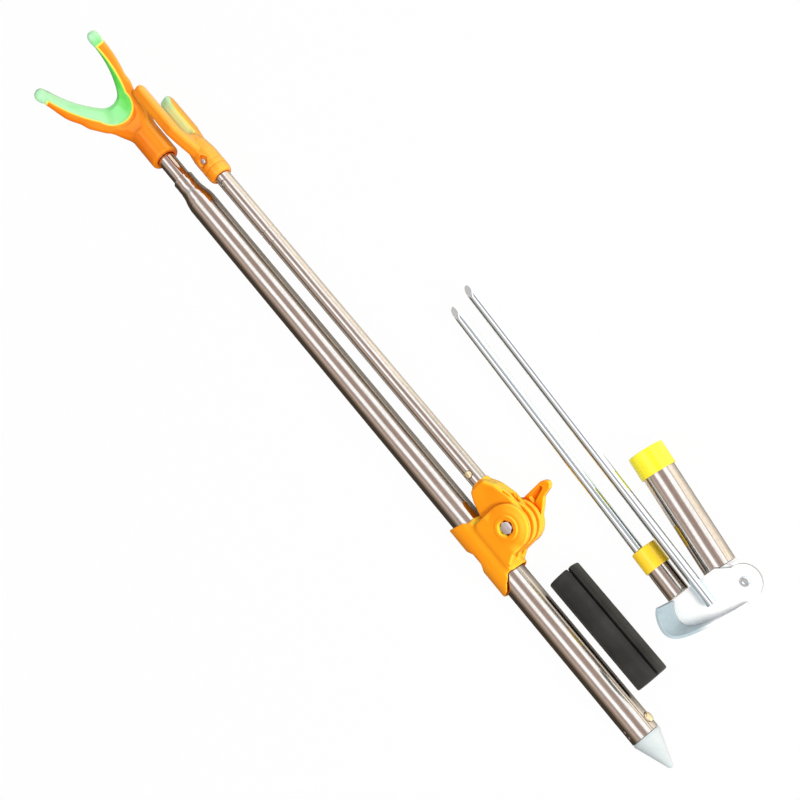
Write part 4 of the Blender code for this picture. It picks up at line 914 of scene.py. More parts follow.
# %% Press the ripples and drill the button's hole
RIPPLE = 0.00012
LONG_WAVE = 480
SHORT_WAVE = 830
SHORT_WAVE_SHARE = 0.6
FADE_IN, FADE_OUT = 0.004, 0.003
BUTTON_R = 0.0044
DRILL_FROM = 0.006
for vertex in tube_mesh.verts:
    radius = math.hypot(vertex.co.y, vertex.co.z)
    if vertex.co.x < full or radius < neck_radius(vertex.co.x) - POLE_WALL / 4:
        continue
    around = math.atan2(vertex.co.y, vertex.co.z)
    along = vertex.co.x - full
    fade = eased(along / FADE_IN) * eased((end - vertex.co.x) / FADE_OUT)
    wave = math.sin(along * LONG_WAVE + 2 * around)
    wave += SHORT_WAVE_SHARE * math.sin(along * SHORT_WAVE - 3 * around + 1.0)
    scale = 1 - RIPPLE * fade * (1 + wave) / 2 / radius
    vertex.co.y *= scale
    vertex.co.z *= scale
button_hole = pin(BUTTON_R + GAP, DRILL_FROM, POLE_R * 1.5, at(button_x, 0, 0) @ to_minus_y)
finish_piece(
    "pole_outer_tube", drilled(tube_mesh, [button_hole]), stainless, "pole", ["outer_pole_tube"],
    pole_place,
)

# %% [markdown]
# The inner tube is a plain pipe that slides out of the neck.

# %% Turn the inner tube
inner_low, inner_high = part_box("inner_pole_tube")
inner_bore = INNER_R - INNER_WALL
inner_profile = [
    (inner_low.x, INNER_R), (inner_high.x, INNER_R), (inner_high.x, inner_bore),
    (inner_low.x, inner_bore),
]
finish_piece(
    "pole_inner_tube", turned(inner_profile), stainless, "inner_pole", ["inner_pole_tube"],
    pole_place,
)

# %% [markdown]
# ## The pointed foot
# A pale plastic cone plugs the tube's end. Its rim is as wide as the tube, with a small round
# before the cone starts, and its point is blunt.

# %% Turn the pointed foot
cone_low, cone_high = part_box("cone_tip")
tip = cone_low.x
plug_r = POLE_R - POLE_WALL - GAP
blunt_point = [(tip, 0.0), (tip + 0.0002, 0.0009), (tip + 0.0008, 0.0018), (tip + 0.0018, 0.0025)]
rim = [(start - 0.0040, POLE_R - 0.0008), (start - 0.0032, POLE_R - 0.0003)]
rim += [(start - 0.0024, POLE_R), (start - 0.0006, POLE_R), (start - GAP, POLE_R - 0.0003)]
plug = [(start - GAP, plug_r), (cone_high.x, plug_r), (cone_high.x, 0.0)]
finish_piece(
    "pointed_foot", turned(blunt_point + rim + plug), pale_grey, "pole", ["cone_tip"],
    pole_place,
)

# %% [markdown]
# A brass snap button looks out of the hole on the tube's side, and two low rivets hold the foot
# from behind. All three are buttons with a shallow dome.

# %% Turn the snap button and the two rivets
BUTTON_LENGTH = 0.0085
BUTTON_DOME = 0.0017
RIVET_ROLL = math.radians(38)
RIVET_R = 0.0017
RIVET_SUNK = 0.003
RIVET_PROUD = 0.0003
RIVET_DOME = 0.0004
button_top = pole_axis.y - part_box("foot_button")[0].y
button_profile = dome(button_top - BUTTON_LENGTH, button_top, BUTTON_R, BUTTON_DOME)
finish_piece(
    "foot_snap_button", turned(button_profile, 64), brass, "foot_button", ["foot_button"],
    at(button_x, pole_axis.y, pole_axis.z) @ to_minus_y,
)
rivet_out = Matrix.Rotation(-RIVET_ROLL, 4, "X") @ upright
for number in (1, 2):
    node = f"tip_rivet_{number}"
    low_head = dome(POLE_R - RIVET_SUNK, POLE_R + RIVET_PROUD, RIVET_R, RIVET_DOME)
    finish_piece(
        f"foot_rivet_{number}", turned(low_head, 40), stainless, "pole", [node],
        at(box_centre(node).x, pole_axis.y, pole_axis.z) @ rivet_out,
    )

# %% [markdown]
# ## The arm
# The arm is a thinner tube in the same steel, with two rolled crimps near its far end and a small
# round hole that its button clicks into when the arm is pulled out.

# %% Turn the arm's outer tube
ARM_WALL = 0.0008
ARM_BUTTON_R = 0.0032
ARM_HOLE_MARGIN = 0.0050
ARM_EDGE = 0.0003
CRIMPS_FROM_END = (0.0779, 0.0660)
CRIMP_HALF = 0.0016
CRIMP_DEPTH = 0.0004
CRIMP_STEPS = 8
LOCK_HOLE_FROM_END = 0.0086
arm_bore = ARM_R - ARM_WALL
arm_button_x = box_centre("arm_button").x
button_near = arm_button_x - ARM_HOLE_MARGIN
button_far = arm_button_x + ARM_HOLE_MARGIN
lock_hole_x = arm_high.x - LOCK_HOLE_FROM_END
arm_profile = [(arm_low.x, ARM_R), (button_near, ARM_R), (button_far, ARM_R)]
for from_end in CRIMPS_FROM_END:
    middle = arm_high.x - from_end
    for step in range(CRIMP_STEPS + 1):
        share = 2 * step / CRIMP_STEPS - 1
        dip = (1 + math.cos(math.pi * share)) / 2
        arm_profile.append((middle + CRIMP_HALF * share, ARM_R - CRIMP_DEPTH * dip))
arm_profile += [(lock_hole_x - ARM_HOLE_MARGIN, ARM_R), (lock_hole_x + ARM_HOLE_MARGIN, ARM_R)]
arm_profile += [(arm_high.x - ARM_EDGE, ARM_R), (arm_high.x, ARM_R - ARM_EDGE)]
arm_profile += [(arm_high.x, arm_bore), (lock_hole_x - ARM_HOLE_MARGIN, arm_bore)]
arm_profile += [(button_far, arm_bore), (arm_low.x, arm_bore)]


def arm_hole(x):
    """A drill that stands on the arm's top."""
    return pin(ARM_BUTTON_R + GAP, 0.0, ARM_R * 2, at(x, 0, 0) @ upright)


arm_holes = [arm_hole(arm_button_x), arm_hole(lock_hole_x)]
finish_piece(
    "arm_tube", drilled(turned(arm_profile), arm_holes), stainless, "arm", ["arm_outer_tube"],
    arm_place,
)

# %% [markdown]
# A second tube slides inside the arm. It carries the rear holder, and the snap button goes through
# both tubes.

# %% Turn the arm's slide tube and its snap button
SLIDE_WALL = 0.0009
ARM_BUTTON_LENGTH = 0.0029
ARM_BUTTON_DOME = 0.0012
slide_low, slide_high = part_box("arm_inner_tube")
slide_r = half_width("arm_inner_tube")
slide_along = (slide_low.x, button_near, button_far, slide_high.x)
slide_profile = [(x, slide_r) for x in slide_along]
slide_profile += [(x, slide_r - SLIDE_WALL) for x in reversed(slide_along)]
finish_piece(
    "arm_slide_tube", drilled(turned(slide_profile), [arm_hole(arm_button_x)]), stainless,
    "arm_inner", ["arm_inner_tube"], arm_place,
)
arm_button_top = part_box("arm_button")[1].z - arm_axis.z
arm_button_profile = dome(
    arm_button_top - ARM_BUTTON_LENGTH, arm_button_top, ARM_BUTTON_R, ARM_BUTTON_DOME
)
finish_piece(
    "arm_snap_button", turned(arm_button_profile, 48), brass, "arm_button", ["arm_button"],
    at(arm_button_x, arm_axis.y, arm_axis.z) @ upright,
)

# %% [markdown]
# ## The fork
# The fork stands on a socket at the top of the inner tube, leaning back by half a right angle and
# rolled a little to one side. A frame of its own has its origin at the bottom of the U, with one
# axis across the fork and one up between its prongs.

# %% Work out the fork's own frame
FORK_TILT = math.radians(45)
FORK_ROLL = math.radians(-14.6)
SOCKET_LENGTH = 0.0380
CROTCH_PAST_SOCKET = 0.0242
CROTCH_RISE = 0.0210
fork_up = Vector((
    math.cos(FORK_TILT), math.sin(FORK_TILT) * math.sin(FORK_ROLL),
    math.sin(FORK_TILT) * math.cos(FORK_ROLL),
))
fork_across = Vector((0.0, -math.cos(FORK_ROLL), math.sin(FORK_ROLL)))
fork_frame = Matrix((fork_across, fork_up, fork_across.cross(fork_up))).transposed().to_4x4()
fork_frame.translation = Vector((
    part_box("fork_head")[0].x + SOCKET_LENGTH + CROTCH_PAST_SOCKET,
    pole_axis.y + CROTCH_RISE * math.sin(FORK_ROLL),
    pole_axis.z + CROTCH_RISE * math.cos(FORK_ROLL),
))
to_fork = fork_frame.inverted()
print("the fork's crotch is at", [round(part, 4) for part in fork_frame.translation])

# %% [markdown]
# The U is an arc at its bottom that runs on into a much wider arc up each prong. A point is
# measured in that curve's own terms: how far along the U it lies, as the angle turned from the
# crotch, and how far outward from the U's inner edge. The left prong is wider in the photograph
# than in the CAD model, so it grows by a share of its width.

# %% Measure a point along the U
U_RADIUS = 0.0135
CROTCH_TURN = math.radians(54)
PRONG_RADIUS = 0.1050
LEFT_GROWTH = 0.36
LEFT_TIP_GROWTH = 0.02
GROWTH_FROM, GROWTH_OVER = math.radians(6), math.radians(34)
TIP_FROM, TIP_OVER = math.radians(66), math.radians(12)
wide_x = -(PRONG_RADIUS - U_RADIUS) * math.sin(CROTCH_TURN)
wide_y = U_RADIUS + (PRONG_RADIUS - U_RADIUS) * math.cos(CROTCH_TURN)


def along_the_u(across, up):
    """The angle turned from the crotch and the distance outward from the U's inner edge."""
    side = abs(across)
    turn = math.atan2(side - wide_x, wide_y - up)
    if turn > CROTCH_TURN:
        return turn, math.hypot(side - wide_x, up - wide_y) - PRONG_RADIUS
    turn = math.atan2(side, U_RADIUS - up)
    return turn, math.hypot(side, up - U_RADIUS) - U_RADIUS


def prong_growth(across, turn):
    """How much wider than in the CAD model the left prong is, as a share of its width."""
    if across >= 0:
        return 0.0
    rise = eased((turn - GROWTH_FROM) / GROWTH_OVER)
    fall = 1 - eased((turn - TIP_FROM) / TIP_OVER)
    return (LEFT_TIP_GROWTH + (LEFT_GROWTH - LEFT_TIP_GROWTH) * fall) * rise


print("half way up the left prong it grows by", round(prong_growth(-1.0, math.radians(60)), 2))

# %% [markdown]
# The grip's border is a width counted from the U's inner edge. It is large at the crotch, small on
# the prongs, and smaller on the back than on the front. At the tips the whole prong is grip.

# %% Measure how far a point is inside the fork's grip
FORK_THICK = 0.0104
CAP_TURN = math.radians(78.2)
GRIP_AT_CROTCH = 0.0165
GRIP_ON_LEFT = 0.0042
GRIP_ON_RIGHT = 0.0016
GRIP_ON_BACK = 0.0020
GRIP_NARROWING = 1.6
GRIP_LOWEST = -0.0185
FAR_OUTSIDE = -0.01


def inside_fork_grip(point):
    across, up, facing = to_fork @ point
    turn, outward = along_the_u(across, up)
    at_front = eased(facing / FORK_THICK + 0.5)
    narrow = GRIP_ON_LEFT if across < 0 else GRIP_ON_RIGHT
    widening = max(0.0, math.cos(turn)) ** GRIP_NARROWING
    front = narrow + (GRIP_AT_CROTCH - narrow) * widening
    border = GRIP_ON_BACK + (front - GRIP_ON_BACK) * at_front
    beside = border - outward
    beyond = (turn - CAP_TURN) * PRONG_RADIUS
    if up < GRIP_LOWEST:
        return FAR_OUTSIDE
    return max(beside, beyond)


print("the crotch is inside the grip by", round(inside_fork_grip(fork_frame.translation), 4), "m")

# %% [markdown]
# The body of both plastics is moulded first. The left prong is widened by moving its vertices
# along the outward direction of the U, the outer flanks are smoothed further, and the body is then
# split into core and grip.

# %% Mould the fork and its grip
PRONG_WIDTH = 0.0122
SOCKET_FADE = (-0.0040, 0.0180)
FLANK_FROM = 0.006
FLANK_LOWEST = -0.020
FLANK_ROUNDS = 14
BELOW_CAP = 0.1
fork_body = moulded_copy(["fork_head", "fork_liner"], voxel=0.00055, rounds=8, grow=0.0005)
for vertex in fork_body.verts:
    across, up, facing = to_fork @ vertex.co
    turn, outward = along_the_u(across, up)
    growth = prong_growth(across, turn) * min(PRONG_WIDTH, max(0.0, outward))
    growth *= 1 - eased((SOCKET_FADE[0] - up) / SOCKET_FADE[1])
    if growth > 0.0:
        shift = Vector((math.copysign(math.sin(turn), across), -math.cos(turn), 0.0)) * growth
        vertex.co = fork_frame @ Vector((across + shift.x, up + shift.y, facing))
flanks = []
for vertex in fork_body.verts:
    across, up, _ = to_fork @ vertex.co
    turn, outward = along_the_u(across, up)
    if outward > FLANK_FROM and 0.0 < turn < CAP_TURN - BELOW_CAP and up > FLANK_LOWEST:
        flanks.append(vertex)
smooth_all(fork_body, flanks, FLANK_ROUNDS)
fork_core, fork_grip = two_shot(fork_body, inside_fork_grip)
finish_piece(
    "fork", fork_core, cored_orange, "inner_pole", ["fork_head"],
    sharp=ALL_SMOOTH,
)
finish_piece(
    "fork_grip", fork_grip, green, "inner_pole", ["fork_liner"],
    sharp=ALL_SMOOTH,
)

# %% [markdown]
# ## The rear holder
# The rear holder is a socket on the arm with two fingers. The long one carries the rod's butt from
# above and the short one, with its soft pad, from below. Core and pad are split from one body, as
# on the fork. A fine groove runs round the socket near its mouth.

# %% Mould the rear holder and its pad
SHORT_TIP_PAST_ARM = 0.0987
MEET_PAST_ARM = 0.0567
SHORT_Z = arm_axis.z - 0.0101
SHORT_HALF = 0.0055
COLLAR_FROM_END = 0.0092
COLLAR_GROOVE = 0.0009
COLLAR_HALF_WIDTH = 0.0009
PAD_BELOW_TOP = 0.0012
PAD_ABOVE_TOP = 0.0040
PAD_TIP_DROP = 0.0040
PAD_TIP_FROM, PAD_TIP_OVER = 0.0120, 0.0100
PAD_BEFORE_MEET = 0.0060
meet_x = arm_high.x + MEET_PAST_ARM
short_tip_x = arm_high.x + SHORT_TIP_PAST_ARM
collar_x = arm_high.x + GAP + COLLAR_FROM_END


def inside_pad(point):
    """How far inside the pad's area a point of the short finger is."""
    near_tip = eased((point.x - short_tip_x + PAD_TIP_FROM) / PAD_TIP_OVER)
    edge = SHORT_Z + SHORT_HALF - PAD_BELOW_TOP - PAD_TIP_DROP * near_tip
    below_long = SHORT_Z + SHORT_HALF + PAD_ABOVE_TOP - point.z
    return min(point.z - edge, below_long, (point.x - meet_x + PAD_BEFORE_MEET) * 0.5)


holder_body = moulded_copy(["rear_holder", "holder_liner"], voxel=0.00045, rounds=9, grow=0.0005)
for vertex in holder_body.verts:
    off = abs(vertex.co.x - collar_x) / COLLAR_HALF_WIDTH
    if off < 1.0:
        outward = Vector((0.0, vertex.co.y - arm_axis.y, vertex.co.z - arm_axis.z))
        if outward.length > ARM_R + 0.001:
            vertex.co -= outward.normalized() * COLLAR_GROOVE * (1 - off * off)
holder_core, holder_pad = two_shot(holder_body, inside_pad)
finish_piece(
    "finger_pad", holder_pad, pad_green, "arm_inner", ["holder_liner"],
    sharp=ALL_SMOOTH,
)

# %% [markdown]
# A screw clamps the holder to the arm. It sits in a six-sided recess, and its low round head has a
# cross cut in it. The recess and the cross are Booleans with a six-sided cone and two thin blocks.

# %% Cut the recess and make the screw
HEX_RECESS_R = 0.0057
HEX_FLARE = 1.08
HEX_DEPTH = 0.008
SCREW_SEAT = arm_axis.z + 0.00875
SCREW_TOP = 0.0017
SCREW_R = 0.0025
SCREW_DOME = 0.0008
SLOT_DEPTH, SLOT_WIDTH, SLOT_LENGTH = 0.0014, 0.0007, 0.0034
RECESS_SHARP = math.radians(60)
screw_x = box_centre("holder_screw").x
recess = bmesh.new()
bmesh.ops.create_cone(
    recess, cap_ends=True, segments=6, radius1=HEX_RECESS_R, radius2=HEX_RECESS_R * HEX_FLARE,
    depth=HEX_DEPTH, matrix=at(screw_x, arm_axis.y, SCREW_SEAT + HEX_DEPTH / 2),
)
finish_piece(
    "rear_fingers", drilled(holder_core, [recess]), holder_orange, "arm_inner", ["rear_holder"],
    sharp=RECESS_SHARP,
)
slots = []
for across, along in ((SLOT_WIDTH, SLOT_LENGTH), (SLOT_LENGTH, SLOT_WIDTH)):
    block = bmesh.new()
    size = Matrix.Diagonal((SLOT_DEPTH, across, along, 1))
    bmesh.ops.create_cube(block, size=1.0, matrix=at(SCREW_TOP, 0, 0) @ size)
    slots.append(block)
screw_mesh = drilled(turned(dome(0.0, SCREW_TOP, SCREW_R, SCREW_DOME), 40), slots)
finish_piece(
    "holder_screw_head", screw_mesh, bolt_steel, "arm_inner", ["holder_screw"],
    at(screw_x, arm_axis.y, SCREW_SEAT) @ upright,
)

# %% [markdown]
# ## The clamp
# The clamp's front plate is not flat: a soft ring stands round the bolt, and the plate falls away
# to its rim like a shallow dome. The vertices of the plate's face are raised and lowered by their
# distance from the bolt. The crease between the plate and the sleeve is worn into a fillet by more
# rounds of smoothing in that strip alone. The sleeve gets less painted highlight than the plate.

# %% Mould the clamp's body
RING_LOW_R = 0.0062
RING_HIGH_R = 0.0096
RING_HEIGHT = 0.0006
RING_RISE, RING_FALL = 0.0010, 0.0012
DOME_FROM_R = 0.0112
RIM_R = 0.0195
RIM_DROP = 0.0013
FACE_DEPTH = 0.0022
CREASE_FROM_AXIS = 0.0085
CREASE_HALF = 0.0046
CREASE_DEPTH = 0.0060
CREASE_ROUNDS = 110
FLAT_TO_SLEEVE = 0.010
SLEEVE_PAINTED_HIGHLIGHT_CUT = 0.4
DIMMING_FROM, DIMMING_OVER = 0.002, 0.004
clamp_mesh = moulded_copy(["clamp_body"], voxel=0.00055, rounds=5)
front_z = max(
    v.co.z for v in clamp_mesh.verts if (v.co.xy - bolt_centre.xy).length < RING_HIGH_R
)
crease = [
    v for v in clamp_mesh.verts
    if abs(pole_axis.y - CREASE_FROM_AXIS - v.co.y) < CREASE_HALF
    and v.co.z > front_z - CREASE_DEPTH
]
smooth_all(clamp_mesh, crease, CREASE_ROUNDS)
for vertex in clamp_mesh.verts:
    if vertex.co.z < front_z - FACE_DEPTH:
        continue
    from_bolt = (vertex.co.xy - bolt_centre.xy).length
    ring = eased((from_bolt - RING_LOW_R) / RING_RISE)
    ring *= 1 - eased((from_bolt - RING_HIGH_R) / RING_FALL)
    toward_sleeve = eased((vertex.co.y - bolt_centre.y) / FLAT_TO_SLEEVE)
    fall = eased((from_bolt - DOME_FROM_R) / (RIM_R - DOME_FROM_R)) * (1 - toward_sleeve)
    vertex.co.z += RING_HEIGHT * ring - RIM_DROP * fall
clamp_piece = finish_piece(
    "clamp", clamp_mesh, orange, "clamp", ["clamp_body"], sharp=ALL_SMOOTH
)
# Painted highlight: weaker on the sleeve, so the sleeve looks less lit than the plate
toward_painted_light = clamp_piece.data.attributes["toward_painted_light"].data
for vertex, share in zip(clamp_piece.data.vertices, toward_painted_light):
    on_sleeve = vertex.co.y - pole_axis.y + CREASE_FROM_AXIS + DIMMING_FROM
    share.value *= 1 - SLEEVE_PAINTED_HIGHLIGHT_CUT * eased(on_sleeve / DIMMING_OVER)

# %% [markdown]
# ## The lever and the bush
# The tightening lever is a hub with a stack of thin fins and a short handle, moulded like the
# clamp. The bush is a plastic ring in the clamp's bore, of which only an edge shows.

# %% Mould the lever and turn the bush
finish_piece(
    "lever", moulded_copy(["clamp_lever"], voxel=0.0004, rounds=5), lever_orange, "lever",
    ["clamp_lever"], sharp=ALL_SMOOTH,
)
bush_low, bush_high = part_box("clamp_liner")
bush_r = half_width("clamp_liner")
bush_bore = POLE_R + GAP
bush_corners = [
    (bush_low.x, bush_r), (bush_high.x, bush_r), (bush_high.x, bush_bore),
    (bush_low.x, bush_bore),
]
finish_piece(
    "clamp_bush", turned(rounded(bush_corners, (0, 1, 2, 3), EDGE_ROUND, 3)), orange,
    "clamp_slider", ["clamp_liner"], pole_place,
)

# %% [markdown]
# ## The knuckle
# The arm's knuckle is a wedge with a round mouth for the tube. Two short grooves run along its
# near flank. Each groove is pressed in by moving the vertices near its centre line inward.

# %% Mould the knuckle with its grooves
GROOVE_DEPTH = 0.0018
GROOVE_HALF_WIDTH = 0.0011
FLANK_FROM_BOLT = 0.012
UPPER_GROOVE = (
    (0.0243, -0.0153, 0.0258), (0.0171, -0.0173, 0.0254), (0.0137, -0.0176, 0.0238),
)
LOWER_GROOVE = (
    (0.0239, -0.0161, 0.0184), (0.0208, -0.0169, 0.0185), (0.0152, -0.0172, 0.0161),
)
bolt_foot = Vector((bolt_centre.x, bolt_centre.y, 0.0))


def off_line(point, line):
    """The distance of a point from a line of a few points, given from the foot of the bolt."""
    nearest = math.inf
    for first, last in zip(line, line[1:]):
        first = bolt_foot + Vector(first)
        run = bolt_foot + Vector(last) - first
        share = min(1.0, max(0.0, (point - first).dot(run) / run.length_squared))
        nearest = min(nearest, (point - first - run * share).length)
    return nearest


knuckle_mesh = moulded_copy(["arm_knuckle"], voxel=0.0004, rounds=14)
for vertex in knuckle_mesh.verts:
    if vertex.co.y > bolt_centre.y - FLANK_FROM_BOLT:
        continue
    off = min(off_line(vertex.co, line) for line in (UPPER_GROOVE, LOWER_GROOVE))
    off /= GROOVE_HALF_WIDTH
    if off < 1.0:
        vertex.co -= vertex.normal * GROOVE_DEPTH * (1 - off * off)
finish_piece(
    "knuckle", knuckle_mesh, orange, "arm", ["arm_knuckle"], sharp=ALL_SMOOTH
)

# %% [markdown]
# ## Bolt and nut
# The bolt's head is a hexagon on a round shank, and the nut is a hexagon with a hole. A cone of six
# sides and equal ends gives the hexagon, and its edges are bevelled slightly, so that each catches
# a line of light.

# %% Make the bolt and the nut
HEAD_AF = 0.0100
HEAD_T = 0.0040
HEAD_BEVEL = 0.0006
SHANK_R = 0.0030
NUT_BORE = 0.0033
NUT_BEVEL = 0.0005


def hexagon_head(thick, bevel):
    """A six-sided head standing on the origin, with its corners worn round."""
    mesh = bmesh.new()
    corner_r = HEAD_AF / math.sqrt(3)
    bmesh.ops.create_cone(
        mesh, cap_ends=True, segments=6, radius1=corner_r, radius2=corner_r, depth=thick,
        matrix=at(0, 0, thick / 2),
    )
    bmesh.ops.rotate(mesh, verts=mesh.verts, matrix=Matrix.Rotation(math.radians(30), 3, "Z"))
    bmesh.ops.bevel(
        mesh, geom=mesh.edges[:], offset=bevel, segments=3, profile=0.5, affect="EDGES",
        material=-1,
    )
    return mesh


bolt_low, bolt_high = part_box("hinge_bolt")
shank = pin(SHANK_R, bolt_low.z - bolt_high.z + HEAD_T, HEAD_T * 0.5, upright)
bolt_mesh = drilled(hexagon_head(HEAD_T, HEAD_BEVEL), [shank], "UNION")
finish_piece(
    "bolt", bolt_mesh, bolt_steel, "clamp", ["hinge_bolt"],
    at(bolt_centre.x, bolt_centre.y, bolt_high.z - HEAD_T),
)
nut_low, nut_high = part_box("lever_nut")
nut_centre = box_centre("lever_nut")
nut_hole = pin(NUT_BORE, -0.01, 0.02, upright)
finish_piece(
    "lever_lock_nut", drilled(hexagon_head(nut_high.z - nut_low.z, NUT_BEVEL), [nut_hole]),
    bolt_steel, "lever", ["lever_nut"],
    at(nut_centre.x, nut_centre.y, nut_low.z),
)

# %% [markdown]
# ## The ground stake
# The stake is zinc-plated: a pressed plate with a turned-up lip, two round tines with ground
# noses, a short tube on the left tine and a long socket tube that swings on a rivet. A tine is
# turned with a blunt nose, and bisect_plane then grinds one slanting flat on it.

# %% Turn the tines
TINE_R = 0.0043
TINE_END = 0.3065
NOSE_LENGTH = 0.0120
NOSE_STEPS = 10
NOSE_FULLNESS = 2.2
NOSE_SLOPE = math.radians(16)
RIGHT_TINE = (0.0010, 0.0294)
LEFT_TINE = (0.0235, 0.0579)


def tine_mesh(begin):
    """A tine along X with a blunt nose that has one flat ground on it."""
    nose = TINE_END - NOSE_LENGTH
    profile = [(begin, 0.0), (begin, TINE_R - 0.0005), (begin + 0.0002, TINE_R - 0.0001)]
    profile += [(begin + 0.0006, TINE_R), (nose, TINE_R)]
    for step in range(1, NOSE_STEPS + 1):
        share = step / NOSE_STEPS
        radius = TINE_R * math.sqrt(max(0.0, 1 - share ** NOSE_FULLNESS))
        profile.append((nose + NOSE_LENGTH * share, radius))
    profile[-1] = (TINE_END, 0.0)
    mesh = turned(profile, 64)
    normal = Vector((math.sin(NOSE_SLOPE), 0.0, math.cos(NOSE_SLOPE)))
    bmesh.ops.bisect_plane(
        mesh, geom=mesh.verts[:] + mesh.edges[:] + mesh.faces[:], plane_co=(nose, 0.0, TINE_R),
        plane_no=normal, clear_outer=True,
    )
    bmesh.ops.holes_fill(mesh, edges=[edge for edge in mesh.edges if edge.is_boundary], sides=0)
    bmesh.ops.recalc_face_normals(mesh, faces=mesh.faces)
    return mesh


for node, name, (begin, across) in (
    ("right_tine", "right_spike", RIGHT_TINE), ("left_tine", "left_spike", LEFT_TINE),
):
    place = stake_frame @ at(0, across, box_centre(node).z)
    finish_piece(name, tine_mesh(begin), zinc, "stake", [node], place)

# %% [markdown]
# The plate and the tongue of the socket are pressed from sheet. The rivet that joins them has a low
# head below and a dished head above, turned from one outline.

# %% Press the plate and the tongue and turn their rivet
RIVET_HEAD_R = 0.0040
RIVET_SHANK_R = 0.0024
finish_piece(
    "tread_plate", pressed_copy("foot_plate"), lip_zinc, "stake", ["foot_plate"]
)
finish_piece(
    "socket_tongue", pressed_copy("socket_lug"), plate_zinc, "socket", ["socket_lug"],
)
rivet_low, rivet_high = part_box("pivot_rivet")
bottom, top = rivet_low.z, rivet_high.z
rivet_profile = [(bottom, 0.0), (bottom, RIVET_HEAD_R * 0.8), (bottom + 0.0008, RIVET_HEAD_R)]
rivet_profile += [(bottom + 0.0009, RIVET_SHANK_R), (top - 0.0008, RIVET_SHANK_R)]
rivet_profile += [(top - 0.0007, RIVET_HEAD_R), (top - 0.0003, RIVET_HEAD_R * 0.92)]
rivet_profile += [(top, RIVET_HEAD_R * 0.66), (top - 0.0003, RIVET_HEAD_R * 0.38)]
rivet_profile += [(top - 0.0004, 0.0)]
finish_piece(
    "swing_rivet", turned(rivet_profile, 64), zinc, "stake", ["pivot_rivet"],
    at(rivet_centre.x, rivet_centre.y, 0) @ upright,
)

# %% [markdown]
# Each of the stake's two tubes is a plain pipe with slightly rounded edges, and carries a yellow
# plastic ring with a lip that covers the tube's end. Their four measures are where they begin and
# end along the tube, and their outer and inner radius.

# %% Turn the two tubes of the stake and their rings
SHORT_TUBE = (0.0215, 0.0633, 0.0095, 0.0087)
SHORT_RING = (0.0466, 0.0651, 0.0106, 0.0098)
SOCKET_TUBE = (0.0, 0.1005, 0.0133, 0.0125)
SOCKET_RING = (0.0828, 0.1023, 0.0146, 0.0136)
SHORT_ACROSS = 0.0538
LIP_THICK = 0.0015
PIPE_ROUND = 0.00025
RING_LOW_ROUND = 0.0004
RING_END_ROUND = 0.0011


def plain_tube(begin, finish, outer, inner):
    """A pipe along X with its four edges slightly rounded."""
    corners = [(begin, outer), (finish, outer), (finish, inner), (begin, inner)]
    return turned(rounded(corners, (0, 1, 2, 3), PIPE_ROUND, 3))


def end_ring(begin, finish, outer, inner, lip):
    """A ring with a round outer edge, and a lip down to the tube's inner radius."""
    floor_x = finish - LIP_THICK
    corners = [
        (begin, outer), (finish, outer), (finish, lip), (floor_x, lip), (floor_x, inner),
        (begin, inner),
    ]
    profile = rounded(corners, (0,), RING_LOW_ROUND, 3)
    return turned(rounded(profile, (len(profile) - 5,), RING_END_ROUND, 6))


short_frame = stake_frame @ at(0, SHORT_ACROSS, box_centre("short_tube").z)
finish_piece(
    "tine_tube", plain_tube(*SHORT_TUBE), short_stainless, "stake", ["short_tube"],
    short_frame,
)
finish_piece(
    "tine_tube_ring", end_ring(*SHORT_RING, SHORT_TUBE[3]), warm_yellow, "stake",
    ["short_tube_ring"], short_frame,
)
finish_piece(
    "rod_socket", plain_tube(*SOCKET_TUBE), stake_stainless, "socket", ["socket_tube"],
    socket_frame,
)
finish_piece(
    "rod_socket_ring", end_ring(*SOCKET_RING, SOCKET_TUBE[3]), yellow, "socket",
    ["socket_collar"], socket_frame,
)

# %% [markdown]
# ## The rubber sleeve
# The sleeve is a C-shaped extrusion in black rubber, slit along its length. Its edges are round
# and its skin is dull and a little mottled. In the photograph its mirror image doesn't show in the
# pole, so mirror rays pass it by.

# %% Mould the rubber sleeve
rubber_piece = finish_piece(
    "rubber_grip", moulded_copy(["rubber_sleeve"], voxel=0.0005, rounds=3), black_rubber,
    "rubber_sleeve", ["rubber_sleeve"], sharp=ALL_SMOOTH,
)
rubber_piece.visible_glossy = False

# %% [markdown]
# ## Nodes that keep the CAD shape
# Two parts are hidden inside the pole: the leaf behind the snap button and the bush that guides
# the inner tube. They keep their CAD shape and only get a finish.

# %% Give the carried-over nodes their finishes
for node, look in (("foot_button_spring", stainless), ("inner_guide_bush", pale_grey)):
    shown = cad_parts[node].data
    shown.materials.clear()
    shown.materials.append(look)
    print(node, "keeps its shape and gets", look.name)

# %% [markdown]
# ## Floor
# The photograph's ground is pure white. The floor is a wide plane that lets the camera look
# through it into the white world, so that only a trace of shadow is left, and so that an arm which
# is swung below the table stays in sight.

# %% Lay the floor
FLOOR_HALF = 6.0
FLOOR_DROP = 0.0004
CAMERA_CLEAR = 0.975
MATT_WHITE = (0.86, 0.86, 0.86, 1.0)
floor_mesh = bmesh.new()
bmesh.ops.create_grid(floor_mesh, x_segments=1, y_segments=1, size=FLOOR_HALF)
bmesh.ops.translate(floor_mesh, verts=floor_mesh.verts, vec=(0, 0, -FLOOR_DROP))
floor_data = bpy.data.meshes.new("floor")
floor_mesh.to_mesh(floor_data)
floor_mesh.free()
floor = bpy.data.objects.new("floor", floor_data)
bpy.context.scene.collection.objects.link(floor)

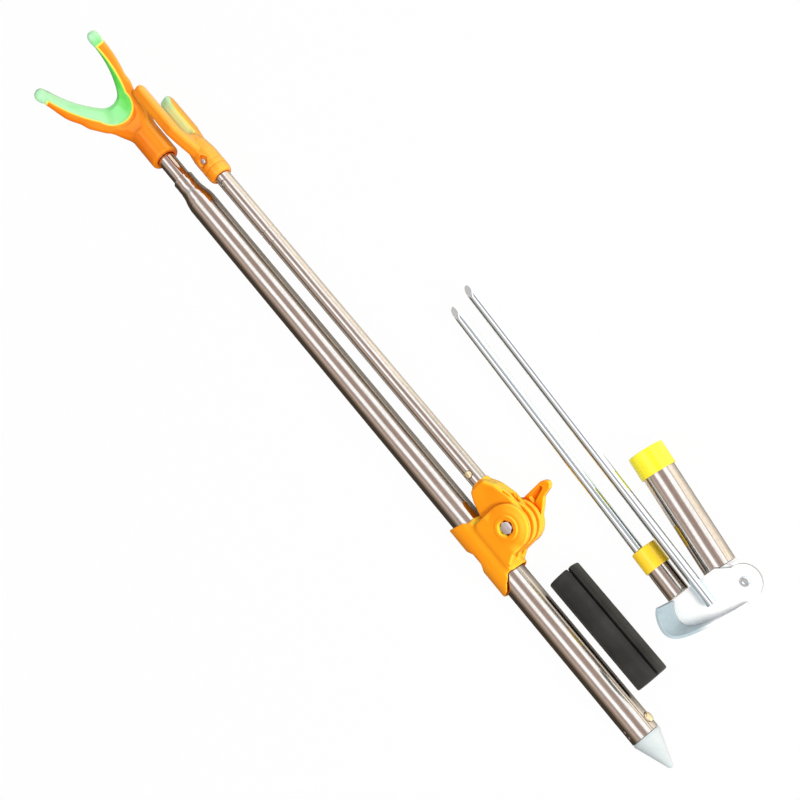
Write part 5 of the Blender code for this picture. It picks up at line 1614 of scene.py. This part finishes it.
paper = bpy.data.materials.new("white ground")
paper.use_nodes = True
paper.cycles.emission_sampling = "NONE"
floor_data.materials.append(paper)
tree = paper.node_tree
tree.nodes.remove(tree.nodes["Principled BSDF"])
light_path = add(tree, "ShaderNodeLightPath")
matt = add(tree, "ShaderNodeBsdfDiffuse")
matt.inputs["Color"].default_value = MATT_WHITE
clear = add(tree, "ShaderNodeBsdfTransparent")
seen = add(tree, "ShaderNodeMixShader")
clear_share = maths(tree, "MULTIPLY", light_path.outputs["Is Camera Ray"], CAMERA_CLEAR)
tree.links.new(clear_share, seen.inputs["Fac"])
tree.links.new(matt.outputs["BSDF"], seen.inputs[1])
tree.links.new(clear.outputs["BSDF"], seen.inputs[2])
print("the floor lies", FLOOR_DROP * 1000, "mm below the kit")

# %% [markdown]
# ## What polished tubes mirror
# Polished tubes mirror the floor beside them, which in the photograph is bright on the near side
# of each tube and dark on its far side, and darkest where a tube almost touches it. So mirror rays
# see a glow instead of the matt sheet. It follows the floor's place: dark beyond the pole, and
# dark on a strip beside the left tine and on one beside the socket tube.

# %% Find the floor's painted shadow
POLE_EDGE = (-0.004, 0.006)
TINE_STRIP = (0.0575, 0.0750, 0.32)
SOCKET_STRIP = (0.003, 0.019, 0.135)
NEAR_EDGE, FAR_EDGE, END_EDGE = 0.002, 0.004, 0.01
floor_place = add(tree, "ShaderNodeTexCoord").outputs["Object"]
stake_turned = add(tree, "ShaderNodeMapping")
stake_turned.inputs["Rotation"].default_value = (0.0, 0.0, -STAKE_TURN)
tree.links.new(floor_place, stake_turned.inputs["Vector"])
stake_places = split_place(tree, stake_turned.outputs["Vector"])
socket_slope = math.tan(SOCKET_TURN)


def strip_of_floor(across, origin, strip):
    """One on a strip of floor: from and to across the stake, and how far along it."""
    start, end, stop = origin + strip[0], origin + strip[1], rivet_along + strip[2]
    inner = remap(tree, across, start, start + NEAR_EDGE)
    outer = remap(tree, across, end, end + FAR_EDGE, 1.0, 0.0)
    short = remap(tree, stake_places["X"], stop, stop + END_EDGE, 1.0, 0.0)
    return maths(tree, "MULTIPLY", maths(tree, "MULTIPLY", inner, outer), short)


# Painted shadow for mirror rays: dark beyond the pole and on strips by the left tine and socket
floor_y = split_place(tree, floor_place)["Y"]
beyond_pole = remap(tree, floor_y, *[pole_axis.y + edge for edge in POLE_EDGE])
left_of_tine = strip_of_floor(stake_places["Y"], rivet_across, TINE_STRIP)
socket_line = maths(tree, "MULTIPLY", stake_places["X"], socket_slope)
off_socket = maths(tree, "SUBTRACT", stake_places["Y"], socket_line)
socket_offset = rivet_across + SOCKET_ACROSS - socket_slope * (rivet_along + SOCKET_ALONG)
left_of_socket = strip_of_floor(off_socket, socket_offset, SOCKET_STRIP)
painted_shadow_strips = maths(tree, "MAXIMUM", left_of_tine, left_of_socket)
painted_shadow_floor = maths(tree, "MAXIMUM", beyond_pole, painted_shadow_strips)
print("the floor's material has", len(tree.nodes), "nodes so far")

# %% [markdown]
# Is Glossy Ray and Is Transmission Ray choose the glow for mirror rays alone.

# %% Let mirror rays see the glow
NEAR_GLOW = (1.55, 1.45, 1.28)
SHADOWED_GLOW = (0.075, 0.062, 0.048)
GLOW_FALL = 1.85
GLOW_REACH = 0.035
# Painted contact shadow: the glow fades near the kit, found by an Ambient Occlusion node
near_kit = add(tree, "ShaderNodeAmbientOcclusion")
near_kit.samples = 6
near_kit.inputs["Distance"].default_value = GLOW_REACH


def mirror_rays(tree, path):
    """One for the rays that a polished or clear surface sends on."""
    glossy, clear_through = path.outputs["Is Glossy Ray"], path.outputs["Is Transmission Ray"]
    return maths(tree, "MAXIMUM", glossy, clear_through)


mirror_glow = add(tree, "ShaderNodeEmission")
tree.links.new(mix_colours(tree, painted_shadow_floor, NEAR_GLOW, SHADOWED_GLOW), mirror_glow.inputs["Color"])
glow_strength = maths(tree, "POWER", near_kit.outputs["AO"], GLOW_FALL)
tree.links.new(glow_strength, mirror_glow.inputs["Strength"])
ground_mix = add(tree, "ShaderNodeMixShader")
tree.links.new(mirror_rays(tree, light_path), ground_mix.inputs["Fac"])
tree.links.new(seen.outputs["Shader"], ground_mix.inputs[1])
tree.links.new(mirror_glow.outputs["Emission"], ground_mix.inputs[2])
tree.links.new(ground_mix.outputs["Shader"], tree.nodes["Material Output"].inputs["Surface"])
print("the floor's material has", len(tree.nodes), "nodes")

# %% [markdown]
# ## World
# A polished tube shows nothing but its surroundings, so for reflections the world has the bands of
# a real room: windows overhead and low on the near side, a taupe wall between them and a dark far
# side. The bands run along the pole, so they depend only on the direction across it. For the light
# that it throws the world is plain, and for the camera it is white.

# %% Paint the bands of the room
BAND_TOP = 1.9
ROOM_BANDS = (
    (-94, (0.30, 0.22, 0.15)), (-88, (0.55, 0.48, 0.40)), (-82, (1.60, 1.70, 1.80)),
    (-58, (1.60, 1.70, 1.80)), (-50, (0.66, 0.54, 0.50)), (-42, (0.56, 0.45, 0.42)),
    (-24, (0.55, 0.44, 0.41)), (-17, (0.80, 0.70, 0.68)), (-10, (1.62, 1.74, 1.86)),
    (6, (1.62, 1.74, 1.86)), (13, (0.72, 0.62, 0.60)), (22, (0.52, 0.42, 0.41)),
    (32, (0.72, 0.61, 0.56)), (42, (0.66, 0.56, 0.48)), (50, (0.40, 0.31, 0.25)),
    (60, (0.28, 0.21, 0.16)), (70, (0.09, 0.075, 0.06)), (100, (0.06, 0.05, 0.04)),
)
world = bpy.data.worlds.new("studio")
bpy.context.scene.world = world
world.use_nodes = True
tree = world.node_tree
direction = split_place(tree, add(tree, "ShaderNodeTexCoord").outputs["Generated"])
around = maths(tree, "ARCTAN2", direction["Y"], direction["Z"])
bands = add(tree, "ShaderNodeValToRGB")
ramp = bands.color_ramp
while len(ramp.elements) < len(ROOM_BANDS):
    ramp.elements.new(0.5)
for element, (degrees, colour) in zip(ramp.elements, ROOM_BANDS):
    element.position = (degrees + 180) / 360
    element.color = (*[part / BAND_TOP for part in colour], 1.0)
tree.links.new(remap(tree, around, -math.pi, math.pi), bands.inputs["Fac"])
bright_bands = add(tree, "ShaderNodeVectorMath", operation="SCALE")
bright_bands.inputs["Scale"].default_value = BAND_TOP
tree.links.new(bands.outputs["Color"], bright_bands.inputs[0])
print("bands in the room:", len(ramp.elements))

# %% [markdown]
# Toward both ends of the room the bands give way to a plain blue grey, which the ends of the tines
# and the plate's lip mirror.

# %% Light the room
END_BLUE = (0.50, 0.62, 0.68)
PLAIN_LIGHT = (0.60, 0.60, 0.60)
CAMERA_WHITE = (1.0, 1.0, 1.0)
ENDS_FROM, ENDS_FULL = 0.72, 0.90
light_path = add(tree, "ShaderNodeLightPath")
off_middle = maths(tree, "ABSOLUTE", direction["X"], 0.0)
toward_ends = remap(tree, off_middle, ENDS_FROM, ENDS_FULL)
room = mix_colours(tree, toward_ends, bright_bands.outputs["Vector"], END_BLUE)
plain_or_room = mix_colours(tree, mirror_rays(tree, light_path), PLAIN_LIGHT, room)
shown_world = mix_colours(
    tree, light_path.outputs["Is Camera Ray"], plain_or_room, CAMERA_WHITE
)
tree.links.new(shown_world, tree.nodes["Background"].inputs["Color"])
print("the world has", len(tree.nodes), "nodes")

# %% [markdown]
# ## Lamps
# Two soft lamps give the plastics their form: a warm one from beyond the foot, on the near side,
# and a weak long one overhead. They stay out of reflections, where the room's bands do that work.

# %% Hang the lamps
WARM = (1.0, 0.95, 0.86)
NEUTRAL = (1.0, 1.0, 1.0)


def soft_lamp(name, place, target, width, height, watts, colour):
    """An area lamp that hangs at a place and looks at a target."""
    lamp = bpy.data.lights.new(name, "AREA")
    lamp.shape = "RECTANGLE"
    lamp.size = width
    lamp.size_y = height
    lamp.energy = watts
    lamp.color = colour
    holder = bpy.data.objects.new(name.replace(" ", "_"), lamp)
    bpy.context.scene.collection.objects.link(holder)
    holder.location = place
    holder.rotation_mode = "QUATERNION"
    holder.rotation_quaternion = (Vector(target) - Vector(place)).to_track_quat("-Z", "Y")
    holder.visible_glossy = False
    print(name, "at", place, "with", watts, "W")


soft_lamp(
    "key lamp", place=(-1.1, -1.0, 1.1), target=(-0.05, 0, 0), width=0.5, height=0.5, watts=23.0,
    colour=WARM,
)
soft_lamp(
    "top lamp", place=(0.1, 0.15, 1.9), target=(0, 0, 0), width=1.6, height=0.4, watts=3.5,
    colour=NEUTRAL,
)
